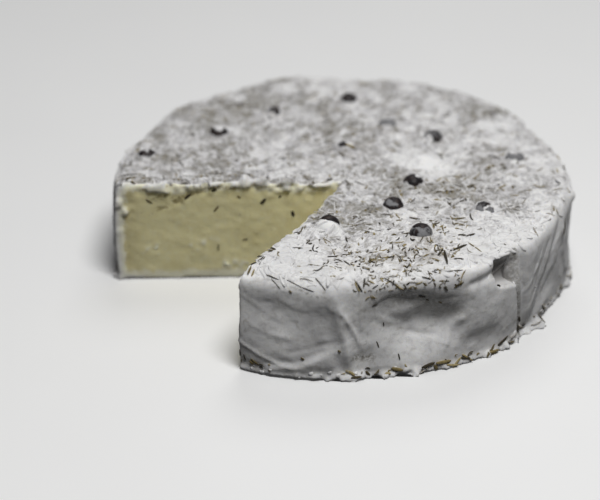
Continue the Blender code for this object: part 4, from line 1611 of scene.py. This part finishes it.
class Wire:
    """A value on its way through a finish. Sums and products of wires make the nodes that work them out."""

    def __init__(self, finish, socket):
        self.finish = finish
        self.socket = socket

    def math(self, operation, first, second):
        return self.finish.node("ShaderNodeMath", {"operation": operation}, {0: first, 1: second})

    def __add__(self, other):
        return self.math("ADD", self, other)

    def __radd__(self, other):
        return self.math("ADD", other, self)

    def __sub__(self, other):
        return self.math("SUBTRACT", self, other)

    def __rsub__(self, other):
        return self.math("SUBTRACT", other, self)

    def __mul__(self, other):
        return self.math("MULTIPLY", self, other)

    def __rmul__(self, other):
        return self.math("MULTIPLY", other, self)


class Finish:
    """A material, made node by node. Its sizes are in millimetres."""

    def __init__(self, name):
        self.material = bpy.data.materials.new(name)
        self.material.use_nodes = True
        self.tree = self.material.node_tree
        self.tree.nodes.clear()
        metres = self.node("ShaderNodeTexCoord", out="Object")
        self.place = self.node("ShaderNodeVectorMath", {"operation": "SCALE"},
                               {"Vector": metres, "Scale": 1 / MM})

    def node(self, kind, settings=None, sockets=None, out=0):
        made = self.tree.nodes.new(kind)
        for name, value in (settings or {}).items():
            if name == "stops":
                self.fill_ramp(made.color_ramp, value)
            else:
                setattr(made, name, value)
        for name, value in (sockets or {}).items():
            if isinstance(value, Wire):
                self.tree.links.new(value.socket, made.inputs[name])
            else:
                made.inputs[name].default_value = value
        return Wire(self, made.outputs[out]) if made.outputs else None

    @staticmethod
    def fill_ramp(ramp, stops):
        while len(ramp.elements) < len(stops):
            ramp.elements.new(1.0)
        for element, (position, colour) in zip(ramp.elements, stops):
            element.position = position
            element.color = (*colour, 1)

    def noise(self, size, detail=2.0, roughness=0.5, distortion=0.0, stretch=None):
        """Soft spots of about this size in millimetres, squeezed along the axes by a stretch."""
        place = self.place
        if stretch:
            place = self.node("ShaderNodeVectorMath", {"operation": "MULTIPLY"}, {0: place, 1: stretch})
        return self.node("ShaderNodeTexNoise", {}, {
            "Vector": place, "Scale": 1 / size, "Detail": detail,
            "Roughness": roughness, "Distortion": distortion})

    def read(self, name):
        return self.node("ShaderNodeAttribute", {"attribute_name": name}, out="Fac")

    def between(self, value, low, high):
        """0 below low, 1 above high and smooth in between."""
        return self.node("ShaderNodeMapRange", {"interpolation_type": "SMOOTHSTEP"}, {
            "Value": value, "From Min": low, "From Max": high})

    def ramp(self, value, stops):
        return self.node("ShaderNodeValToRGB", {"stops": stops}, {0: value})

    def blend(self, share, first, second):
        colours = [value if isinstance(value, Wire) else (*value, 1) for value in (first, second)]
        return self.node("ShaderNodeMix", {"data_type": "RGBA"},
                         {0: share, 6: colours[0], 7: colours[1]}, out=2)

    def over(self, under, colour, value, low, high, share=1.0):
        """Lays a colour over another where the value runs from low to high."""
        return self.blend(self.between(value, low, high) * share, under, colour)

    def bump(self, height, distance, strength):
        return self.node("ShaderNodeBump", {}, {
            "Height": height, "Distance": distance * MM, "Strength": strength})

    def finished(self, **sockets):
        """Closes the material with its shader. A socket's name is written with _ for spaces."""
        named = {name.replace("_", " "): value for name, value in sockets.items()}
        shader = self.node("ShaderNodeBsdfPrincipled", {}, named)
        self.node("ShaderNodeOutputMaterial", {}, {"Surface": shader})
        return self.material


def patchiness(finish):
    """Patches of the top, lower where the mould is thick and higher where the herbs show through and where
    painted shade greys the left.
    """
    large = finish.noise(8, 2, 0.5, 0.6) * 0.35
    small = finish.noise(3.4, 4, 0.65, 1.0) * 0.85
    return large + small - 0.1 + finish.read("felt") * 0.4 - 0.19


def rind_colour(finish):
    """White mould, mottled in cool greys, and greyer where the herbs lie under it as a felt and, as painted
    shade, towards the left.
    """
    base = finish.over(RIND_WHITE, RIND_COOL, finish.noise(11, 3, 0.55), 0.35, 0.68)
    base = finish.over(base, RIND_GREY, finish.noise(2.6, 4, 0.6, 0.6), 0.45, 0.78, 0.6)
    base = finish.over(base, RIND_GREY, finish.noise(0.8, 3, 0.6), 0.55, 0.8, 0.25)
    fibres = finish.noise(1.3, 5, 0.7, 1.4)
    tone = finish.ramp(finish.between(patchiness(finish) + fibres * 0.7 - 0.35, 0.31, 0.79), FELT_TINTS)
    # Felt of herbs under the mould, with painted shade towards the left
    return finish.over(base, tone, finish.read("felt"), 0.0, 0.5)


def skin_colour(finish):
    """The colour of the rind with its herb stains, its dust, its white mounds, and painted shade in its
    creases, dents and pockets.
    """
    stains = finish.noise(3.2, 4, 0.6, 0.8) + finish.read("herbs") * 0.16
    # Herb dust, and painted shade along creases and in hollows of the side
    dust = finish.read("dust") * finish.between(finish.noise(1.2, 4, 0.7), 0.3, 0.62)
    hollow = finish.read("hollow")
    rind = finish.over(rind_colour(finish), HERB_STAIN, stains, 0.52, 0.84, 0.62)
    rind = finish.blend(dust, rind, DUST_AND_SHADE)
    rind = finish.over(rind, MOUND_WHITE, finish.read("mound"), 1.5, 2.4, 0.9)
    # Painted shade: greyer in the dents and darker in the deep pockets, by how far the side is pressed in
    rind = finish.over(rind, RIND_GREY, hollow, 0.3, 1.6, 0.5)
    return finish.over(rind, POCKET_SHADE, hollow, 2.2, 4.5, 0.6)


def paste_colour(finish, depth, wander):
    """Ivory paste, creamy near the rind, with brown stains, curd and a touch of ochre."""
    far_end, stain = finish.read("far_end"), finish.read("stain")
    paste = finish.over(PASTE_LIGHT, PASTE_DEEP, finish.noise(7, 4, 0.6, 0.4), 0.35, 0.7)
    paste = finish.over(paste, PASTE_PALE, finish.noise(1.3, 4, 0.65, 0.5), 0.45, 0.7, 0.6)
    paste = finish.over(paste, PASTE_BROWN, finish.noise(0.7, 3, 0.7), 0.56, 0.74, 0.2)
    paste = finish.over(paste, PASTE_BROWN, finish.noise(2.2, 3, 0.6, 0.8, (1, 1, 1.4)), 0.62, 0.74, 0.3)
    paste = finish.blend(far_end * 0.45, paste, PASTE_BROWN)
    paste = finish.over(paste, CREAM, finish.read("curd"), 0.1, 0.7, 0.8)
    paste = finish.over(paste, CREAM, depth - wander * 6.0, 1.2, -0.5, 0.9)
    near_rind = finish.between(depth, 4.5, 1.5) * (far_end * 0.06 + 1)
    spots = finish.noise(1.6, 3, 0.6, 0.6, (1, 1, 1.5)) + near_rind * 0.04
    paste = finish.over(paste, PASTE_STAIN, spots, 0.66, 0.74, 0.6)
    ragged = stain * 0.75 + finish.noise(0.9, 4, 0.7, 0.6, (1, 1, 1.5)) * 2.6 - 1.3
    stained = finish.between(ragged, 0.3, 0.75) * finish.between(stain, 0.05, 0.4)
    paste = finish.blend(stained * 0.75, paste, PASTE_STAIN)
    ochre = finish.between(finish.noise(1.5), 0.70, 0.76) * finish.between(depth, 7, 2)
    return finish.blend(ochre * 0.8, paste, OCHRE)


def cheese_finish():
    finish = Finish("mould_rind_and_paste")
    depth = finish.read("depth")
    wander = finish.noise(2.4, 3, 0.6, 0.5)
    paste = paste_colour(finish, depth, wander)
    rind = finish.over(skin_colour(finish), CUT_RIND, depth, 0.15, 0.8, 0.85)
    rind = finish.over(rind, CREAM, depth + wander * 1.5, 1.6, 3.0, 0.85)
    share = finish.between(finish.read("paste") + finish.noise(0.9, 3, 0.6) * 0.5 - 0.25, 0.35, 0.65)
    height = finish.noise(0.45, 4, 0.7) * 0.35 + finish.noise(1.4, 4, 0.65, 0.5) * 0.65
    return finish.finished(
        Base_Color=finish.blend(share, rind, paste),
        Roughness=0.92 - share * 0.34,
        Normal=finish.bump(height, 0.22, 0.75),
        Subsurface_Weight=0.12,
        Subsurface_Radius=(1.0, 0.85, 0.6),
        Subsurface_Scale=0.0012,
        Specular_IOR_Level=0.25,
        Sheen_Weight=0.12,
        Sheen_Roughness=0.6,
    )


def mould_finish():
    finish = Finish("mould_over_herbs")
    thin = finish.noise(1.3, 3, 0.6, 0.5)
    shade = finish.read("tint") * 0.6 + thin * 0.25 + patchiness(finish) * 0.75 - 0.36
    inner = finish.read("across") + thin * 0.7
    colour = finish.over(rind_colour(finish), finish.ramp(shade, COVERED_TINTS), inner, 1.15, 0.35, 0.85)
    return finish.finished(
        Base_Color=colour,
        Roughness=0.93,
        Normal=finish.bump(finish.noise(0.5, 4, 0.7), 0.2, 0.7),
        Specular_IOR_Level=0.2,
        Sheen_Weight=0.1,
    )


def herb_finish():
    finish = Finish("dried_rosemary")
    mould = finish.read("mould")
    colour = finish.ramp(finish.read("tint") * 0.8 + finish.noise(1.2, 3, 0.6) * 0.35 - 0.08, HERB_TINTS)
    groove = finish.between(finish.read("across"), 0.55, 0.0) * finish.between(mould, 0.45, 0.8)
    colour = finish.blend(groove * 0.5, colour, HERB_PALE)
    colour = finish.over(colour, COVERED_GREY, finish.noise(1.0, 3, 0.65, 0.6) + mould * 0.34, 0.70, 0.86)
    return finish.finished(
        Base_Color=colour,
        Roughness=0.72,
        Normal=finish.bump(finish.noise(0.4, 3, 0.6), 0.1, 0.6),
        Specular_IOR_Level=0.35,
    )


def berry_finish():
    finish = Finish("juniper_skin")
    tone = finish.noise(1.9, 3, 0.55)
    spots = finish.noise(1.1, 4, 0.65, 0.5)
    bloom = finish.between(finish.read("bloom") + spots * 1.7 - 0.85, 0.15, 0.9)
    film = finish.between(finish.read("film") + finish.noise(0.8, 3, 0.65) * 0.7 - 0.35, 0.28, 0.72)
    colour = finish.over(BERRY_DARK, BERRY_BROWN, tone, 0.4, 0.7)
    colour = finish.blend(bloom * 0.9, colour, BERRY_BLOOM)
    colour = finish.blend(film, colour, finish.over(RIND_WHITE, FELT_GREY, tone, 0.35, 0.65))
    return finish.finished(
        Base_Color=colour,
        Roughness=0.42 + bloom * 0.2 + film * 0.35,
        Normal=finish.bump(spots * 0.5 + finish.noise(0.35, 3, 0.6) * 0.5, 0.12, 0.6),
        Specular_IOR_Level=0.22,
    )


def curd_finish():
    finish = Finish("curd")
    colour = finish.blend(finish.read("tint"), CREAM, CURD_WHITE)
    return finish.finished(
        Base_Color=finish.blend(finish.noise(0.7, 3, 0.6), colour, PASTE_PALE),
        Roughness=0.6,
        Normal=finish.bump(finish.noise(0.3, 3, 0.6), 0.08, 0.5),
        Subsurface_Weight=0.1,
        Subsurface_Scale=0.001,
    )


def floor_finish():
    finish = Finish("pale_table")
    colour = finish.blend(finish.noise(60), FLOOR_LIGHT, FLOOR_SHADE)
    return finish.finished(Base_Color=colour, Roughness=0.8, Specular_IOR_Level=0.2)


# ---- the room ----


def build_floor():
    mesh = mesh_from(
        lambda work: bmesh.ops.create_grid(work, x_segments=1, y_segments=1, size=FLOOR_SIZE), "floor")
    mesh.materials.append(floor_finish())
    floor = place("floor", mesh)
    floor.location.z = -FLOOR_GAP * MM
    floor.visible_diffuse = False


def aim(thing, location, target):
    """Puts a lamp or the camera in its place and turns it to its target."""
    thing.location = location
    thing.rotation_euler = (Vector(target) - Vector(location)).to_track_quat("-Z", "Y").to_euler()


def build_light(name, location, target, size, power):
    light = bpy.data.lights.new(name, "AREA")
    light.shape = "DISK"
    light.size = size
    light.energy = power
    aim(place(name, light), location, target)


def build_room():
    build_floor()
    build_light("key", KEY_PLACE, LIGHT_AIM, KEY_SIZE, KEY_POWER)
    build_light("back", BACK_PLACE, LIGHT_AIM, BACK_SIZE, BACK_POWER)
    world = bpy.data.worlds.new("soft_room")
    world.use_nodes = True
    background = world.node_tree.nodes["Background"]
    background.inputs["Color"].default_value = (1, 1, 1, 1)
    background.inputs["Strength"].default_value = ROOM_LIGHT
    bpy.context.scene.world = world
    bpy.context.scene.view_settings.view_transform = "Standard"
    bpy.context.scene.view_settings.look = "None"


def build_camera():
    data = bpy.data.cameras.new("camera")
    data.lens = CAMERA_LENS
    data.sensor_width = CAMERA_SENSOR
    data.clip_start = CAMERA_NEAR
    camera = place("camera", data)
    aim(camera, CAMERA_PLACE, CAMERA_AIM)
    bpy.context.scene.camera = camera
    focus = place("focus", None)
    focus.location = FOCUS_PLACE
    data.dof.use_dof = True
    data.dof.focus_object = focus
    data.dof.aperture_fstop = CAMERA_STOP


def main():
    build_camera()
    build_room()
    mould, herb = mould_finish(), herb_finish()
    surface = build_cheese(cheese_finish())
    build_covered_needles(surface, mould)
    build_herbs(surface, herb)
    draw = random.Random(CUT_SEED)
    build_flecks(surface, draw, herb)
    build_grains(surface, draw, curd_finish())
    build_mould_tufts(surface, mould)
    skin = berry_finish()
    for number, berry in enumerate(BERRIES, 1):
        build_berry(number, berry, skin)


main()
